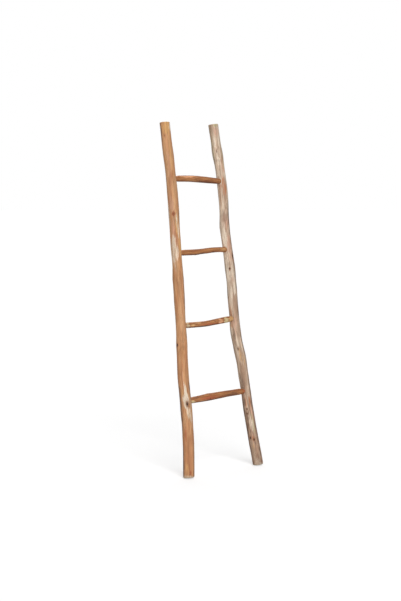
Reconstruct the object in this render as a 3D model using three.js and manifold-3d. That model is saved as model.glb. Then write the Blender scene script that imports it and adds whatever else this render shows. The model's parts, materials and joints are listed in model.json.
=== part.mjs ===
// A decorative leaning ladder: two natural round poles joined by four natural round rungs.
// Each rung is whittled to a round tenon at both ends, sits in blind mortises bored in the inner
// sides of the rails, and is held by a countersunk wood screw driven from the back of each rail.
// Millimetres, +Z up, +Y towards the wall that the ladder leans on, +X to the right seen from the front.

import * as THREE from "three";
import { mergeVertices } from "three/addons/utils/BufferGeometryUtils.js";
import Module from "manifold-3d";

const wasm = await Module();
wasm.setup();

// Overall sizes of the ladder
const railLength = 1500;
const footSpacing = 453; // between the rails' centre lines at the soles
const topSpacing = 311; // between the rails' centre lines at the tips
const leanDegrees = 7.7;

// The two poles
const leftRailDiameter = 47.5;
const leftRailBow = 16; // furthest that the pole wanders sideways from a straight line
const rightRailDiameter = 44.5;
const rightRailBow = 30;
const railDepthBow = 8; // furthest that either pole wanders to the front or back
const soleRounding = 6;
const tipRounding = 3;

// Where the rungs are
const bottomRungHeight = 324; // from the soles, along the rails
const topRungBelowTip = 248;
const rungUnevenness = 16; // the most that a rung's end is off its even spacing
const rungCount = 4;

// The rungs
const rungDiameter = 26;
const rungBow = 6;
const tenonDiameter = 22;
const tenonPastCentre = 9; // how far the tenon goes past the rail's centre line
const tenonChamfer = 1.5;
const neckLength = 2; // the part of the tenon that shows beside the rail
const shoulderLength = 22; // over which the tenon widens to the full branch
const fitGap = 0.3; // between the pieces that touch

// Swellings round the knots, on rails and rungs
const railKnotRise = 3.5;
const railKnotReach = 34;
const rungKnotRise = 1.6;
const rungKnotReach = 12;

// The wood screws
const screwLength = 30;
const screwDiameter = 4;
const screwHeadDiameter = 8;
const screwHeadHeight = 2.8;
const screwRimHeight = 0.5;
const screwHeadSink = 1; // depth of the head below the back of the rail
const screwPointLength = 5;
const screwThreadLength = 18;
const screwThreadDepth = 0.6;
const screwThreadTurns = 5;
const recessSpan = 4.4;
const recessWidth = 1.1;
const recessDepth = 1.7;
const overrun = 6; // how far a cutting shape runs past what it cuts

// How finely the round shapes are divided
const railSides = 20;
const railSteps = 54;
const rungSides = 14;
const bodySteps = 16;
const shoulderSteps = 4;
const roundingSteps = 3;
const screwSides = 10;

// How far natural wood is from a true round
const ovalShare = 0.018;
const lobeShare = 0.012;

// Each pole along its height: [share of the length, share of its bow or diameter].
// Inward is towards the other rail, and backward is towards the wall.
const leftRailShares = {
  inward: [
    [0, 0], [0.04, 0.34], [0.08, 0.63], [0.13, 0.79], [0.2, 0.88], [0.28, 0.7], [0.36, 0.9], [0.45, 1],
    [0.55, 0.96], [0.62, 0.76], [0.7, 0.72], [0.76, 0.76], [0.84, 0.68], [0.88, 0.54], [0.94, 0.22], [1, 0],
  ],
  backward: [[0, 0], [0.13, -0.1], [0.28, 0.5], [0.45, 0.1], [0.62, -0.6], [0.8, -0.7], [1, 0]],
  girth: [
    [0, 1.02], [0.06, 1], [0.12, 1], [0.145, 0.97], [0.18, 1.01], [0.22, 0.98], [0.28, 0.98], [0.36, 0.94],
    [0.45, 0.9], [0.5, 0.98], [0.55, 0.96], [0.6, 0.91], [0.66, 0.96], [0.7, 0.94], [0.76, 0.96],
    [0.84, 0.92], [0.89, 0.88], [0.93, 0.9], [0.96, 0.89], [1, 0.91],
  ],
  // Knots: [share of the length, turns round the pole from the right-hand side, share of the rise]
  knots: [[0.2, 0.72, 0.5], [0.37, 0.62, 1], [0.56, 0.2, 0.9], [0.74, 0.6, 0.4], [0.9, 0.12, 0.7]],
  twistTurns: 1.2,
};
const rightRailShares = {
  inward: [
    [0, 0], [0.03, 0.06], [0.08, 0.24], [0.135, 0.38], [0.18, 0.46], [0.22, 0.41], [0.27, 0.42],
    [0.31, 0.47], [0.345, 0.71], [0.38, 0.92], [0.41, 0.96], [0.46, 0.87], [0.52, 0.66], [0.57, 0.63],
    [0.63, 0.65], [0.68, 0.64], [0.72, 0.45], [0.76, 0.13], [0.8, -0.07], [0.86, -0.14], [0.9, -0.13],
    [0.94, -0.04], [1, 0],
  ],
  backward: [[0, 0], [0.14, 0.3], [0.3, 0.7], [0.46, 0.2], [0.62, -0.5], [0.8, -0.3], [1, 0]],
  girth: [
    [0, 1.05], [0.05, 1.04], [0.09, 1.01], [0.15, 0.99], [0.28, 1], [0.33, 1.09], [0.36, 1.03], [0.4, 0.97],
    [0.47, 0.96], [0.5, 0.98], [0.54, 0.95], [0.57, 0.98], [0.62, 0.93], [0.7, 0.89], [0.76, 0.93],
    [0.82, 0.95], [0.88, 0.91], [0.915, 0.99], [0.94, 0.95], [1, 0.98],
  ],
  knots: [[0.27, 0.55, 0.6], [0.4, 0.1, 0.9], [0.58, 0.66, 0.4], [0.7, 0.3, 0.8], [0.915, 0.5, 0.6]],
  twistTurns: -0.9,
};

// Each rung from the top down. rise holds how far its left and right ends are off even spacing.
// upward, backward, girth and knots run from the left rail to the right one.
const rungShares = [
  {
    rise: [0.55, -0.2],
    upward: [[0, 0], [0.3, 0.5], [0.6, 0.4], [1, 0]],
    backward: [[0, 0], [0.4, -0.5], [1, 0]],
    girth: [[0, 0.98], [0.25, 1.03], [0.55, 1.1], [0.8, 1.04], [1, 0.97]],
    knots: [[0.4, 0.3, 0.8]],
    twistTurns: 0.5,
  },
  {
    rise: [0.04, 0.53],
    upward: [[0, 0], [0.35, -0.2], [0.78, 0.3], [1, 0]],
    backward: [[0, 0], [0.5, 0.4], [1, 0]],
    girth: [[0, 0.92], [0.36, 0.93], [0.48, 0.88], [0.66, 0.88], [0.8, 0.85], [1, 0.86]],
    knots: [[0.36, 0.05, 1], [0.62, 0.95, 0.5]],
    twistTurns: -0.4,
  },
  {
    rise: [0.18, 1],
    upward: [[0, 0], [0.2, -0.5], [0.45, -0.95], [0.7, -0.6], [1, 0]],
    backward: [[0, 0], [0.55, 0.6], [1, 0]],
    girth: [[0, 0.92], [0.4, 0.93], [0.57, 0.96], [0.72, 1.01], [0.85, 1.05], [1, 1.02]],
    knots: [[0.7, 0.7, 0.8]],
    twistTurns: 0.6,
  },
  {
    rise: [-0.31, 0.3],
    upward: [[0, 0], [0.3, 0.15], [0.65, 0.25], [1, 0]],
    backward: [[0, 0], [0.45, -0.4], [1, 0]],
    girth: [[0, 1], [0.1, 1.03], [0.21, 1.1], [0.33, 1.19], [0.45, 1.17], [0.7, 1.08], [1, 1.01]],
    knots: [[0.32, 0.45, 0.7]],
    twistTurns: -0.6,
  },
];

const leftRailWood = new THREE.MeshStandardMaterial({ color: 0xc48e66, roughness: 0.75, metalness: 0 });
const rightRailWood = new THREE.MeshStandardMaterial({ color: 0xcbb294, roughness: 0.8, metalness: 0 });
const rungWood = new THREE.MeshStandardMaterial({ color: 0xb26f42, roughness: 0.7, metalness: 0 });
const screwSteel = new THREE.MeshStandardMaterial({ color: 0xb9bcc0, roughness: 0.35, metalness: 1 });

// A smooth curve through pairs of [place, value].
function curveThrough(pairs) {
  const curve = new THREE.CubicInterpolant(
    pairs.map((pair) => pair[0]),
    pairs.map((pair) => pair[1]),
    1,
  );
  return (place) => curve.evaluate(place)[0];
}

// A closed skin over rings of points. Each ring turns anticlockwise seen from the last ring's end.
function skinOver(rings) {
  const sides = rings[0].length;
  const points = rings.flat();
  const faces = [];
  for (let step = 0; step + 1 < rings.length; step++) {
    for (let side = 0; side < sides; side++) {
      const a = step * sides + side;
      const b = step * sides + ((side + 1) % sides);
      faces.push(a, b, b + sides, a, b + sides, a + sides);
    }
  }
  const firstCentre = points.length;
  const lastCentre = firstCentre + 1;
  const lastRing = (rings.length - 1) * sides;
  points.push(middleOf(rings[0]), middleOf(rings.at(-1)));
  for (let side = 0; side < sides; side++) {
    const next = (side + 1) % sides;
    faces.push(firstCentre, next, side, lastCentre, lastRing + side, lastRing + next);
  }
  return new THREE.BufferGeometry().setFromPoints(points).setIndex(faces);
}

function middleOf(ring) {
  return ring.reduce((sum, point) => sum.add(point), new THREE.Vector3()).divideScalar(ring.length);
}

function solidFrom(geometry) {
  const bare = geometry.clone();
  bare.deleteAttribute("normal");
  bare.deleteAttribute("uv");
  const merged = mergeVertices(bare);
  const vertProperties = merged.getAttribute("position").array;
  const triVerts = new Uint32Array(merged.index.array);
  return new wasm.Manifold(new wasm.Mesh({ numProp: 3, vertProperties, triVerts }));
}

function geometryFrom(solid) {
  const mesh = solid.getMesh();
  const geometry = new THREE.BufferGeometry();
  geometry.setAttribute("position", new THREE.BufferAttribute(mesh.vertProperties, 3));
  geometry.setIndex(new THREE.BufferAttribute(mesh.triVerts, 1));
  geometry.computeVertexNormals();
  return geometry;
}

// Cuts the tools out of a mesh, wherever each of them is placed in the ladder.
function cutAway(mesh, tools) {
  const ladderToMesh = mesh.matrix.clone().invert();
  let solid = solidFrom(mesh.geometry);
  for (const tool of tools) {
    const shape = tool.geometry.clone().applyMatrix4(ladderToMesh.clone().multiply(tool.matrix));
    solid = solid.subtract(solidFrom(shape));
  }
  mesh.geometry = geometryFrom(solid);
}

function namedMesh(name, geometry, material) {
  const mesh = new THREE.Mesh(geometry, material);
  mesh.name = name;
  return mesh;
}

// How far the surface of natural wood is from its centre line, with its swellings round the knots.
function woodRadius(wood, share, angle) {
  const turn = 2 * Math.PI * wood.twistTurns * share;
  const outOfRound = ovalShare * Math.cos(2 * angle + turn) + lobeShare * Math.cos(3 * angle - turn);
  const radius = (wood.diameter / 2) * wood.girth(share) * (1 + outOfRound);
  const swelling = wood.knots.reduce((sum, [knotShare, knotTurns, riseShare]) => {
    const along = ((share - knotShare) * wood.length) / wood.knotReach;
    const halfTurnShare = Math.sin(angle / 2 - Math.PI * knotTurns);
    const across = (wood.diameter * halfTurnShare) / wood.knotReach;
    return sum + wood.knotRise * riseShare * Math.exp(-along * along - across * across);
  }, 0);
  return radius + swelling;
}

function ringOfWood(wood, sides, place, share, inset) {
  const centre = wood.centre(share);
  return Array.from({ length: sides }, (_, side) => {
    const angle = (2 * Math.PI * side) / sides;
    const radius = woodRadius(wood, share, angle) - inset;
    const x = centre.x + radius * Math.cos(angle);
    const y = centre.y + radius * Math.sin(angle);
    return new THREE.Vector3(x, y, place);
  });
}

// A rail stands on its sole, its straight line along +Z. side is -1 for the left and 1 for the right.
function makeRail(name, side, diameter, bow, shares, wood) {
  const inward = curveThrough(shares.inward);
  const backward = curveThrough(shares.backward);
  const rail = {
    diameter,
    length: railLength,
    girth: curveThrough(shares.girth),
    knots: shares.knots,
    knotRise: railKnotRise,
    knotReach: railKnotReach,
    twistTurns: shares.twistTurns,
    centre: (share) => new THREE.Vector2(-side * bow * inward(share), railDepthBow * backward(share)),
  };
  rail.mesh = namedMesh(name, skinOver(railRings(rail)), wood);
  rail.mesh.position.x = (side * footSpacing) / 2;
  rail.mesh.rotation.y = -side * Math.asin((footSpacing - topSpacing) / 2 / railLength);
  rail.mesh.updateMatrix();
  return rail;
}

// Rings from the sole to the tip, with both ends rounded over.
function railRings(rail) {
  const tip = roundedEnd(tipRounding).map(({ place, inset }) => ({ place: railLength - place, inset }));
  const plain = Array.from({ length: railSteps + 1 }, (_, step) => {
    const plainLength = railLength - soleRounding - tipRounding;
    return { place: soleRounding + (plainLength * step) / railSteps, inset: 0 };
  });
  const stations = [...roundedEnd(soleRounding), ...plain, ...tip.reverse()];
  return stations.map(({ place, inset }) => ringOfWood(rail, railSides, place, place / railLength, inset));
}

// Where the rings of a quarter-round end lie, from its flat face: place along the pole, and inset.
function roundedEnd(rounding) {
  return Array.from({ length: roundingSteps }, (_, step) => {
    const angle = (step / roundingSteps) * (Math.PI / 2);
    return { place: rounding * (1 - Math.cos(angle)), inset: rounding * (1 - Math.sin(angle)) };
  });
}

// The point of a rail's centre line at a height along it, in the ladder.
function railCentre(rail, height) {
  const centre = rail.centre(height / railLength);
  return new THREE.Vector3(centre.x, centre.y, height).applyMatrix4(rail.mesh.matrix);
}

// A rung runs along its own +Z from the left tenon's end to the right one's, with +X down and +Y back.
function makeRung(name, leftRail, leftHeight, rightRail, rightHeight, shares) {
  const start = railCentre(leftRail, leftHeight);
  const end = railCentre(rightRail, rightHeight);
  const along = end.clone().sub(start).normalize();
  const down = new THREE.Vector3(0, 1, 0).cross(along).normalize();
  const back = along.clone().cross(down);
  const upward = curveThrough(shares.upward);
  const backward = curveThrough(shares.backward);
  const rung = {
    diameter: rungDiameter,
    girth: curveThrough(shares.girth),
    knots: shares.knots,
    knotRise: rungKnotRise,
    knotReach: rungKnotReach,
    twistTurns: shares.twistTurns,
    centre: (share) => new THREE.Vector2(-rungBow * upward(share), rungBow * backward(share)),
  };
  rung.leftTenon = tenonPastCentre + innerRadius(leftRail, leftHeight) + neckLength;
  rung.rightTenon = tenonPastCentre + innerRadius(rightRail, rightHeight) + neckLength;
  rung.overallLength = start.distanceTo(end) + 2 * tenonPastCentre;
  rung.length = rung.overallLength - rung.leftTenon - rung.rightTenon;
  rung.mesh = namedMesh(name, skinOver(rungRings(rung)), rungWood);
  rung.mesh.position.copy(start).addScaledVector(along, -tenonPastCentre);
  rung.mesh.quaternion.setFromRotationMatrix(new THREE.Matrix4().makeBasis(down, back, along));
  rung.mesh.updateMatrix();
  return rung;
}

// How far the inner side of a rail is from its centre line where a rung meets it.
function innerRadius(rail, height) {
  const towardsOther = rail.mesh.position.x < 0 ? 0 : Math.PI;
  return woodRadius(rail, height / railLength, towardsOther);
}

// Round tenons at both ends, and between them the branch, which swells from each tenon over a shoulder.
function rungRings(rung) {
  const tenonRing = (place, inset) => roundRing(tenonDiameter / 2 - inset, place);
  const stations = [];
  for (let step = 1; step <= shoulderSteps; step++) {
    stations.push((shoulderLength * step) / shoulderSteps);
  }
  const bodyLength = rung.length - 2 * shoulderLength;
  for (let step = 1; step <= bodySteps; step++) {
    stations.push(shoulderLength + (bodyLength * step) / bodySteps);
  }
  for (let step = 1; step < shoulderSteps; step++) {
    stations.push(rung.length - shoulderLength + (shoulderLength * step) / shoulderSteps);
  }
  const lastPlace = rung.overallLength;
  return [
    tenonRing(0, tenonChamfer),
    tenonRing(tenonChamfer, 0),
    tenonRing(rung.leftTenon, 0),
    ...stations.map((place) => branchRing(rung, place)),
    tenonRing(lastPlace - rung.rightTenon, 0),
    tenonRing(lastPlace - tenonChamfer, 0),
    tenonRing(lastPlace, tenonChamfer),
  ];
}

function roundRing(radius, place) {
  return Array.from({ length: rungSides }, (_, side) => {
    const angle = (2 * Math.PI * side) / rungSides;
    return new THREE.Vector3(radius * Math.cos(angle), radius * Math.sin(angle), place);
  });
}

// A ring of the branch, blended from the tenon's round over the shoulder at each end.
function branchRing(rung, place) {
  const share = place / rung.length;
  const fromEnd = Math.min(place, rung.length - place);
  const fullness = THREE.MathUtils.smoothstep(fromEnd, 0, shoulderLength);
  const natural = ringOfWood(rung, rungSides, rung.leftTenon + place, share, 0);
  const round = roundRing(tenonDiameter / 2, rung.leftTenon + place);
  return round.map((point, side) => point.lerp(natural[side], fullness));
}

// The bore that a rung's two tenons fill, as one long cylinder.
function mortiseTool(rung) {
  const length = rung.overallLength + 2 * fitGap;
  const bore = new THREE.CylinderGeometry(
    tenonDiameter / 2 + fitGap,
    tenonDiameter / 2 + fitGap,
    length,
    railSides,
  );
  bore.rotateX(Math.PI / 2);
  bore.translate(0, 0, rung.overallLength / 2);
  const tool = new THREE.Mesh(bore);
  tool.applyMatrix4(rung.mesh.matrix);
  return tool;
}

// A turned shape about the Y axis, from [radius, height] pairs that start and end on the axis.
function turned(pairs) {
  const profile = pairs.map(([radius, height]) => new THREE.Vector2(radius, height));
  return new THREE.LatheGeometry(profile, screwSides);
}

// The screw points along -Y from the top of its head, at Y zero.
function screwProfile() {
  const headRadius = screwHeadDiameter / 2;
  const crestRadius = screwDiameter / 2;
  const coreRadius = crestRadius - screwThreadDepth;
  const pitch = screwThreadLength / screwThreadTurns;
  const threadEnd = screwPointLength - screwLength;
  const profile = [[0, -screwLength]];
  for (let turn = 0; turn < screwThreadTurns; turn++) {
    const height = threadEnd + pitch * turn;
    profile.push([coreRadius, height], [crestRadius, height + pitch / 2]);
  }
  profile.push([coreRadius, threadEnd + screwThreadLength]);
  profile.push([coreRadius, -screwHeadHeight], [headRadius, -screwRimHeight], [headRadius, 0], [0, 0]);
  return profile;
}

// The hole for the screw: its outline with a gap all round, open at the back of the rail.
function screwHoleTool(placed) {
  const boreRadius = screwDiameter / 2 + fitGap;
  const mouthRadius = screwHeadDiameter / 2 + fitGap;
  const tool = new THREE.Mesh(
    turned([
      [0, -screwLength - fitGap],
      [boreRadius, -screwLength - fitGap],
      [boreRadius, -screwHeadHeight - fitGap],
      [mouthRadius, -screwRimHeight - fitGap],
      [mouthRadius, overrun],
      [0, overrun],
    ]),
  );
  tool.applyMatrix4(placed.matrix);
  return tool;
}

// The cross recess in the screw's head.
function recessTools() {
  return [0, Math.PI / 2].map((angle) => {
    const slot = new THREE.BoxGeometry(recessSpan, 2 * recessDepth, recessWidth);
    const tool = new THREE.Mesh(slot);
    tool.rotation.y = angle;
    tool.updateMatrix();
    return tool;
  });
}

// A screw in the back of a rail, its head just below the surface and its shank through the tenon.
function makeScrew(name, rail, height) {
  const screw = namedMesh(name, turned(screwProfile()), screwSteel);
  cutAway(screw, recessTools());
  const share = height / railLength;
  const centre = rail.centre(share);
  const depth = centre.y + woodRadius(rail, share, Math.PI / 2) - screwHeadSink;
  screw.position.set(centre.x, depth, height).applyMatrix4(rail.mesh.matrix);
  screw.updateMatrix();
  return screw;
}

// The height of a rung's end along its rail, counted from the top rung.
function rungHeight(index, riseShare) {
  const topRungHeight = railLength - topRungBelowTip;
  const spacing = (topRungHeight - bottomRungHeight) / (rungCount - 1);
  return topRungHeight - spacing * index + rungUnevenness * riseShare;
}

function makeLadder() {
  const ladder = new THREE.Group();
  const left = makeRail("left_rail", -1, leftRailDiameter, leftRailBow, leftRailShares, leftRailWood);
  const right = makeRail("right_rail", 1, rightRailDiameter, rightRailBow, rightRailShares, rightRailWood);
  const railTools = [];
  for (let index = 0; index < rungCount; index++) {
    const shares = rungShares[index % rungShares.length];
    const number = index + 1;
    const leftHeight = rungHeight(index, shares.rise[0]);
    const rightHeight = rungHeight(index, shares.rise[1]);
    const rung = makeRung(`rung_${number}`, left, leftHeight, right, rightHeight, shares);
    const screws = [
      makeScrew(`left_screw_${number}`, left, leftHeight),
      makeScrew(`right_screw_${number}`, right, rightHeight),
    ];
    const screwHoles = screws.map(screwHoleTool);
    cutAway(rung.mesh, screwHoles);
    railTools.push(mortiseTool(rung), ...screwHoles);
    ladder.add(rung.mesh, ...screws);
  }
  for (const rail of [left, right]) {
    cutAway(rail.mesh, railTools);
    ladder.add(rail.mesh);
  }
  ladder.rotation.x = -THREE.MathUtils.degToRad(leanDegrees);
  return ladder;
}

// Stands the leaning ladder on the ground, with the origin below the middle of its box.
function standOnGround(ladder) {
  const box = new THREE.Box3().setFromObject(ladder, true);
  const middle = box.getCenter(new THREE.Vector3());
  ladder.position.set(-middle.x, -middle.y, -box.min.z);
  return new THREE.Group().add(ladder);
}

export default standOnGround(makeLadder());
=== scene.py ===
# The looks of a leaning decorative ladder: two peeled natural poles joined by four branch rungs.
# Each wooden skin is drawn again, finer and rounder, on the centre line and girth of the packed
# solid that it stands for. Metres, +Z up, +Y towards the wall, +X to the right seen from the front.

import json
import math

import bpy
import numpy as np
from mathutils import Matrix, Vector


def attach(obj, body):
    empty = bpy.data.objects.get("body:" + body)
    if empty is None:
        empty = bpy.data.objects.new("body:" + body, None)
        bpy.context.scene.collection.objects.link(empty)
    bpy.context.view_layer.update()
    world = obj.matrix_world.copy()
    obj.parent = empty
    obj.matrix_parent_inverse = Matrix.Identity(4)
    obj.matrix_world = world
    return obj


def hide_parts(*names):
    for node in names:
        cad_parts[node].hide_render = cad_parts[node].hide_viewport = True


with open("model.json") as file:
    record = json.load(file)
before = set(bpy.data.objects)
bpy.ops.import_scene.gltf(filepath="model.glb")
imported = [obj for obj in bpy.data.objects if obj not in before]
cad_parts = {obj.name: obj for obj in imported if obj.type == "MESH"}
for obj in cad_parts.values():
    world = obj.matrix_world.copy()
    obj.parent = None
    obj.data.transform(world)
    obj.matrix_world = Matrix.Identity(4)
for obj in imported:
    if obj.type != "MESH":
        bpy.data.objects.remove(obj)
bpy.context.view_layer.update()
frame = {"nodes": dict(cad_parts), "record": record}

mm = 0.001
body = "root"
point_digits = 6

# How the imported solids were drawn
rail_sides = 20
rung_sides = 14
tenon_diameter = 22 * mm
fit_gap = 0.3 * mm
rail_sole_rounding = 6 * mm
rail_tip_rounding = 3 * mm
tenon_chamfer = 1.5 * mm
shoulder_length = 22 * mm

# How finely the skins are drawn here
rail_rounds = 112
rail_step = 2.8 * mm
joint_step = 1.0 * mm
joint_reach = 14 * mm
rung_rounds = 80
rung_step = 1.5 * mm
rounding_steps = 6
bevel_widening = 1.1
bevel_unevenness = 0.06
bevel_cells = (9, 100 * mm)
bevel_seed = 7
cap_rings = 7

# The camera, placed from the middle between the soles: degrees, metres, and pixels of the picture
camera_azimuth = 48.37
camera_distance = 7.1404
camera_height = 1.2015
camera_aside = -0.10195
camera_pitch = 3.77
picture_height = 601
picture_focal_length = 1685
camera_sensor = 36
camera_reach = 100


# Places on the ladder, from its record and its solids

def unit(vector):
    return vector / np.linalg.norm(vector)


def mount_named(name):
    return next(mount for mount in frame["record"]["mounts"] if mount["name"] == name)


def mount_point(name):
    return np.array(mount_named(name)["pos_m"], float)


def mount_axis(name):
    return unit(np.array(mount_named(name)["axis"], float))


def packed_points(node):
    """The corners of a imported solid, each of them once."""
    mesh = frame["nodes"][node].data
    points = np.empty(3 * len(mesh.vertices))
    mesh.vertices.foreach_get("co", points)
    return np.unique(points.reshape(-1, 3).round(point_digits), axis=0)


left_up = -mount_axis("left_sole")
right_up = -mount_axis("right_sole")
ladder_back = unit(np.cross(right_up, left_up))
foot_middle = (mount_point("left_sole") + mount_point("right_sole")) / 2
upwards = np.array([0, 0, 1.0])
azimuth = math.radians(camera_azimuth)
away_from_camera = np.array([math.sin(azimuth), math.cos(azimuth), 0])
picture_right = np.array([math.cos(azimuth), -math.sin(azimuth), 0])


# Curves and unevenness

# Rows of cells kept spare before and past a pole, for places a little outside it
rows_before = 10
rows_past = 3


def smooth_between(places, values, wanted):
    """The values at the wanted places, on a smooth curve through the known ones."""
    slopes = np.gradient(values, places, axis=0)
    index = np.clip(np.searchsorted(places, wanted) - 1, 0, len(places) - 2)
    step = (places[index + 1] - places[index])[:, None]
    share = (wanted - places[index])[:, None] / step
    rising = share * share * (3 - 2 * share)
    leaving = share * (1 - share) ** 2 * step * slopes[index]
    arriving = -share * share * (1 - share) * step * slopes[index + 1]
    return values[index] * (1 - rising) + values[index + 1] * rising + leaving + arriving


def smooth_step(value, low, high):
    share = np.clip((value - low) / (high - low), 0, 1)
    return share * share * (3 - 2 * share)


def unevenness(seed, turns, places, cells):
    """Smooth unevenness from -1 to 1 that closes round a pole, in cells given as [number round, length]."""
    cells_round, cell_length = cells
    rows = places / cell_length + rows_before
    columns = (turns % 1) * cells_round
    table = np.random.default_rng(seed).uniform(-1, 1, (int(rows.max()) + rows_past, cells_round))
    row = np.floor(rows).astype(int)
    column = np.floor(columns).astype(int) % cells_round
    down = smooth_step(rows - row, 0, 1)
    across = smooth_step(columns - np.floor(columns), 0, 1)
    beside = (column + 1) % cells_round
    near = table[row, column] * (1 - across) + table[row, beside] * across
    far = table[row + 1, column] * (1 - across) + table[row + 1, beside] * across
    return near * (1 - down) + far * down


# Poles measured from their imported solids

harmonics = 5
fit_softness = 0.02
ring_slack = 0.08 * mm
ring_point_share = 0.6
on_skin_share = 0.8
end_slack = 1 * mm


def end_centre(points, direction):
    """The middle of the points that lie furthest in a direction."""
    reach = points @ direction
    return points[reach > reach.max() - end_slack].mean(axis=0)


def waves(turns):
    """The cosines and sines that a cross-section is written in, one row for each angle."""
    angles = 2 * np.pi * np.asarray(turns)[..., None] * np.arange(1, harmonics + 1)
    return np.concatenate([np.ones(angles.shape[:-1] + (1,)), np.cos(angles), np.sin(angles)], axis=-1)


def wrapped(turns):
    """Turns brought to between minus a half and a half."""
    return (turns + 0.5) % 1 - 0.5


class Pole:
    """A pole or branch: a straight axis, and along it a wandering centre line and a changing girth."""

    def __init__(self, node, start, end, sides, start_rounding, end_rounding):
        self.node = node
        self.start = start
        self.end = end
        self.length = np.linalg.norm(end - start)
        self.start_rounding = start_rounding
        self.end_rounding = end_rounding
        along = unit(end - start)
        across = unit(np.cross(ladder_back, along))
        self.axes = np.array([across, np.cross(along, across), along])
        self.measure(self.to_pole(packed_points(node)), sides)
        picture_side = self.axes[:2] @ -away_from_camera
        self.picture_turns = math.atan2(picture_side[1], picture_side[0]) / (2 * math.pi)

    def to_pole(self, points):
        return (points - self.start) @ self.axes.T

    def to_ladder(self, points):
        return points @ self.axes + self.start

    def measure(self, points, sides):
        """Finds the solid's rings between its rounded ends, and fits a cross-section to each."""
        first = self.start_rounding - ring_slack
        last = self.length - self.end_rounding + ring_slack
        points = points[(points[:, 2] > first) & (points[:, 2] < last)]
        points = points[np.argsort(points[:, 2])]
        groups = np.split(points, np.nonzero(np.diff(points[:, 2]) > ring_slack)[0] + 1)
        rings = [ring for ring in groups if len(ring) >= ring_point_share * sides]
        whole = [len(ring) == sides for ring in rings]
        middles = np.array([ring[:, :2].mean(axis=0) for ring in rings])
        self.heights = np.array([ring[:, 2].mean() for ring in rings])
        self.middles = np.stack(
            [np.interp(self.heights, self.heights[whole], middles[whole, axis]) for axis in (0, 1)],
            axis=1,
        )
        self.waves = np.array([self.fitted(*pair) for pair in zip(rings, self.middles)])

    def fitted(self, ring, middle):
        """The waves of one cross-section, fitted softly so that a few cut away points don't matter."""
        offset = ring[:, :2] - middle
        radius = np.hypot(offset[:, 0], offset[:, 1])
        on_skin = radius > on_skin_share * np.median(radius)
        basis = waves(np.arctan2(offset[on_skin, 1], offset[on_skin, 0]) / (2 * np.pi))
        orders = np.concatenate([[0], np.arange(1, harmonics + 1), np.arange(1, harmonics + 1)])
        soft = fit_softness * np.diag(orders.astype(float) ** 2)
        return np.linalg.solve(basis.T @ basis + soft, basis.T @ radius[on_skin])

    def middle_at(self, places):
        return smooth_between(self.heights, self.middles, places)

    def skin_radius(self, turns, places):
        """How far the smooth skin is from the centre line, for arrays of angles and places."""
        levels, where = np.unique(places, return_inverse=True)
        level_waves = smooth_between(self.heights, self.waves, levels)
        return (waves(turns) * level_waves[where.reshape(np.shape(places))]).sum(axis=-1)

    def picture_turn(self, across_share):
        """The angle of a mark that the picture shows at a share of the half width, right of the middle."""
        return self.picture_turns + math.asin(across_share) / (2 * math.pi)


def measured_rail(node, sole):
    start = mount_point(sole)
    up = -mount_axis(sole)
    reach = ((packed_points(node) - start) @ up).max()
    return Pole(node, start, start + up * reach, rail_sides, rail_sole_rounding, rail_tip_rounding)


def measured_rung(node):
    points = packed_points(node)
    to_the_right = np.array([1.0, 0, 0])
    start = end_centre(points, -to_the_right)
    end = end_centre(points, to_the_right)
    return Pole(node, start, end, rung_sides, tenon_chamfer, tenon_chamfer)


# Natural relief, knots and marks

rail_relief = 0.4 * mm
rail_ripple = 0.12 * mm
rail_peeled = 0.35 * mm
rail_swelling = 0.8 * mm
rail_swelling_lift = 0.5
swelling_starts = 30 * mm
swelling_full = 140 * mm
rung_relief = 0.25 * mm
rung_ripple = 0.1 * mm
rung_peeled = 0.1 * mm
flat_share = 0.6
scrape_share = 0.5
swelling_seed_step = 5

# Cells of unevenness: their number round the pole, and their length
knife_flat_cells = (9, 170 * mm)
scrape_cells = (16, 60 * mm)
rail_ripple_cells = (34, 22 * mm)
swelling_cells = (5, 75 * mm)
rung_ridge_cells = (6, 70 * mm)
rung_ripple_cells = (20, 14 * mm)

# A knot's collar and its sunk core, in shares of its radius
knot_collar_place_share = 1.15
knot_collar_width_share = 0.45
knot_collar_rise_share = 0.11
knot_core_sink_share = 0.14
knot_core_edge_shares = (0.55, 0.95)

# Grooves are at full depth up to this share of their half length
groove_full_share = 0.4
rim_rounding = 0.7 * mm
rim_reach = 1.3 * mm

# Knife cuts on a rung's shoulders
facet_depth = 0.8 * mm
facet_count = 9
facet_turn_per_seed = 0.37
facet_level_share = 0.4
whittled_length = 4 * mm
shoulder_edge_shares = (0.8, 1.15)


class Knot:
    """A branch stub cut off flush with the skin, at a place along a pole and an angle round it."""

    def __init__(self, pole, height_share, turn, radius, lengthening, darkness):
        self.place = height_share * pole.length
        self.turn = turn
        self.radius = radius
        self.lengthening = lengthening
        self.darkness = darkness

    def distance(self, pole, turns, places):
        """How far a point of the skin is from the knot's middle, in knot radii."""
        along = (places - self.place) / self.lengthening
        across = 2 * np.pi * wrapped(turns - self.turn) * pole.waves[:, 0].mean()
        return np.hypot(along, across) / self.radius


def knots_of(pole, picture_shares, unseen_shares):
    """Knots from listed tables, placed by what the picture shows or by an angle round the pole."""
    turned = [(height, pole.picture_turn(across), *rest) for height, across, *rest in picture_shares]
    return [
        Knot(pole, height, turn, radius * mm, lengthening, darkness)
        for height, turn, radius, lengthening, darkness in turned + unseen_shares
    ]


def knot_relief(pole, knots, turns, places):
    relief = np.zeros(np.shape(places))
    for knot in knots:
        distance = knot.distance(pole, turns, places)
        collar = np.exp(-(((distance - knot_collar_place_share) / knot_collar_width_share) ** 2))
        core = 1 - smooth_step(distance, *knot_core_edge_shares)
        relief += knot.radius * (knot_collar_rise_share * collar - knot_core_sink_share * core)
    return relief


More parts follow.
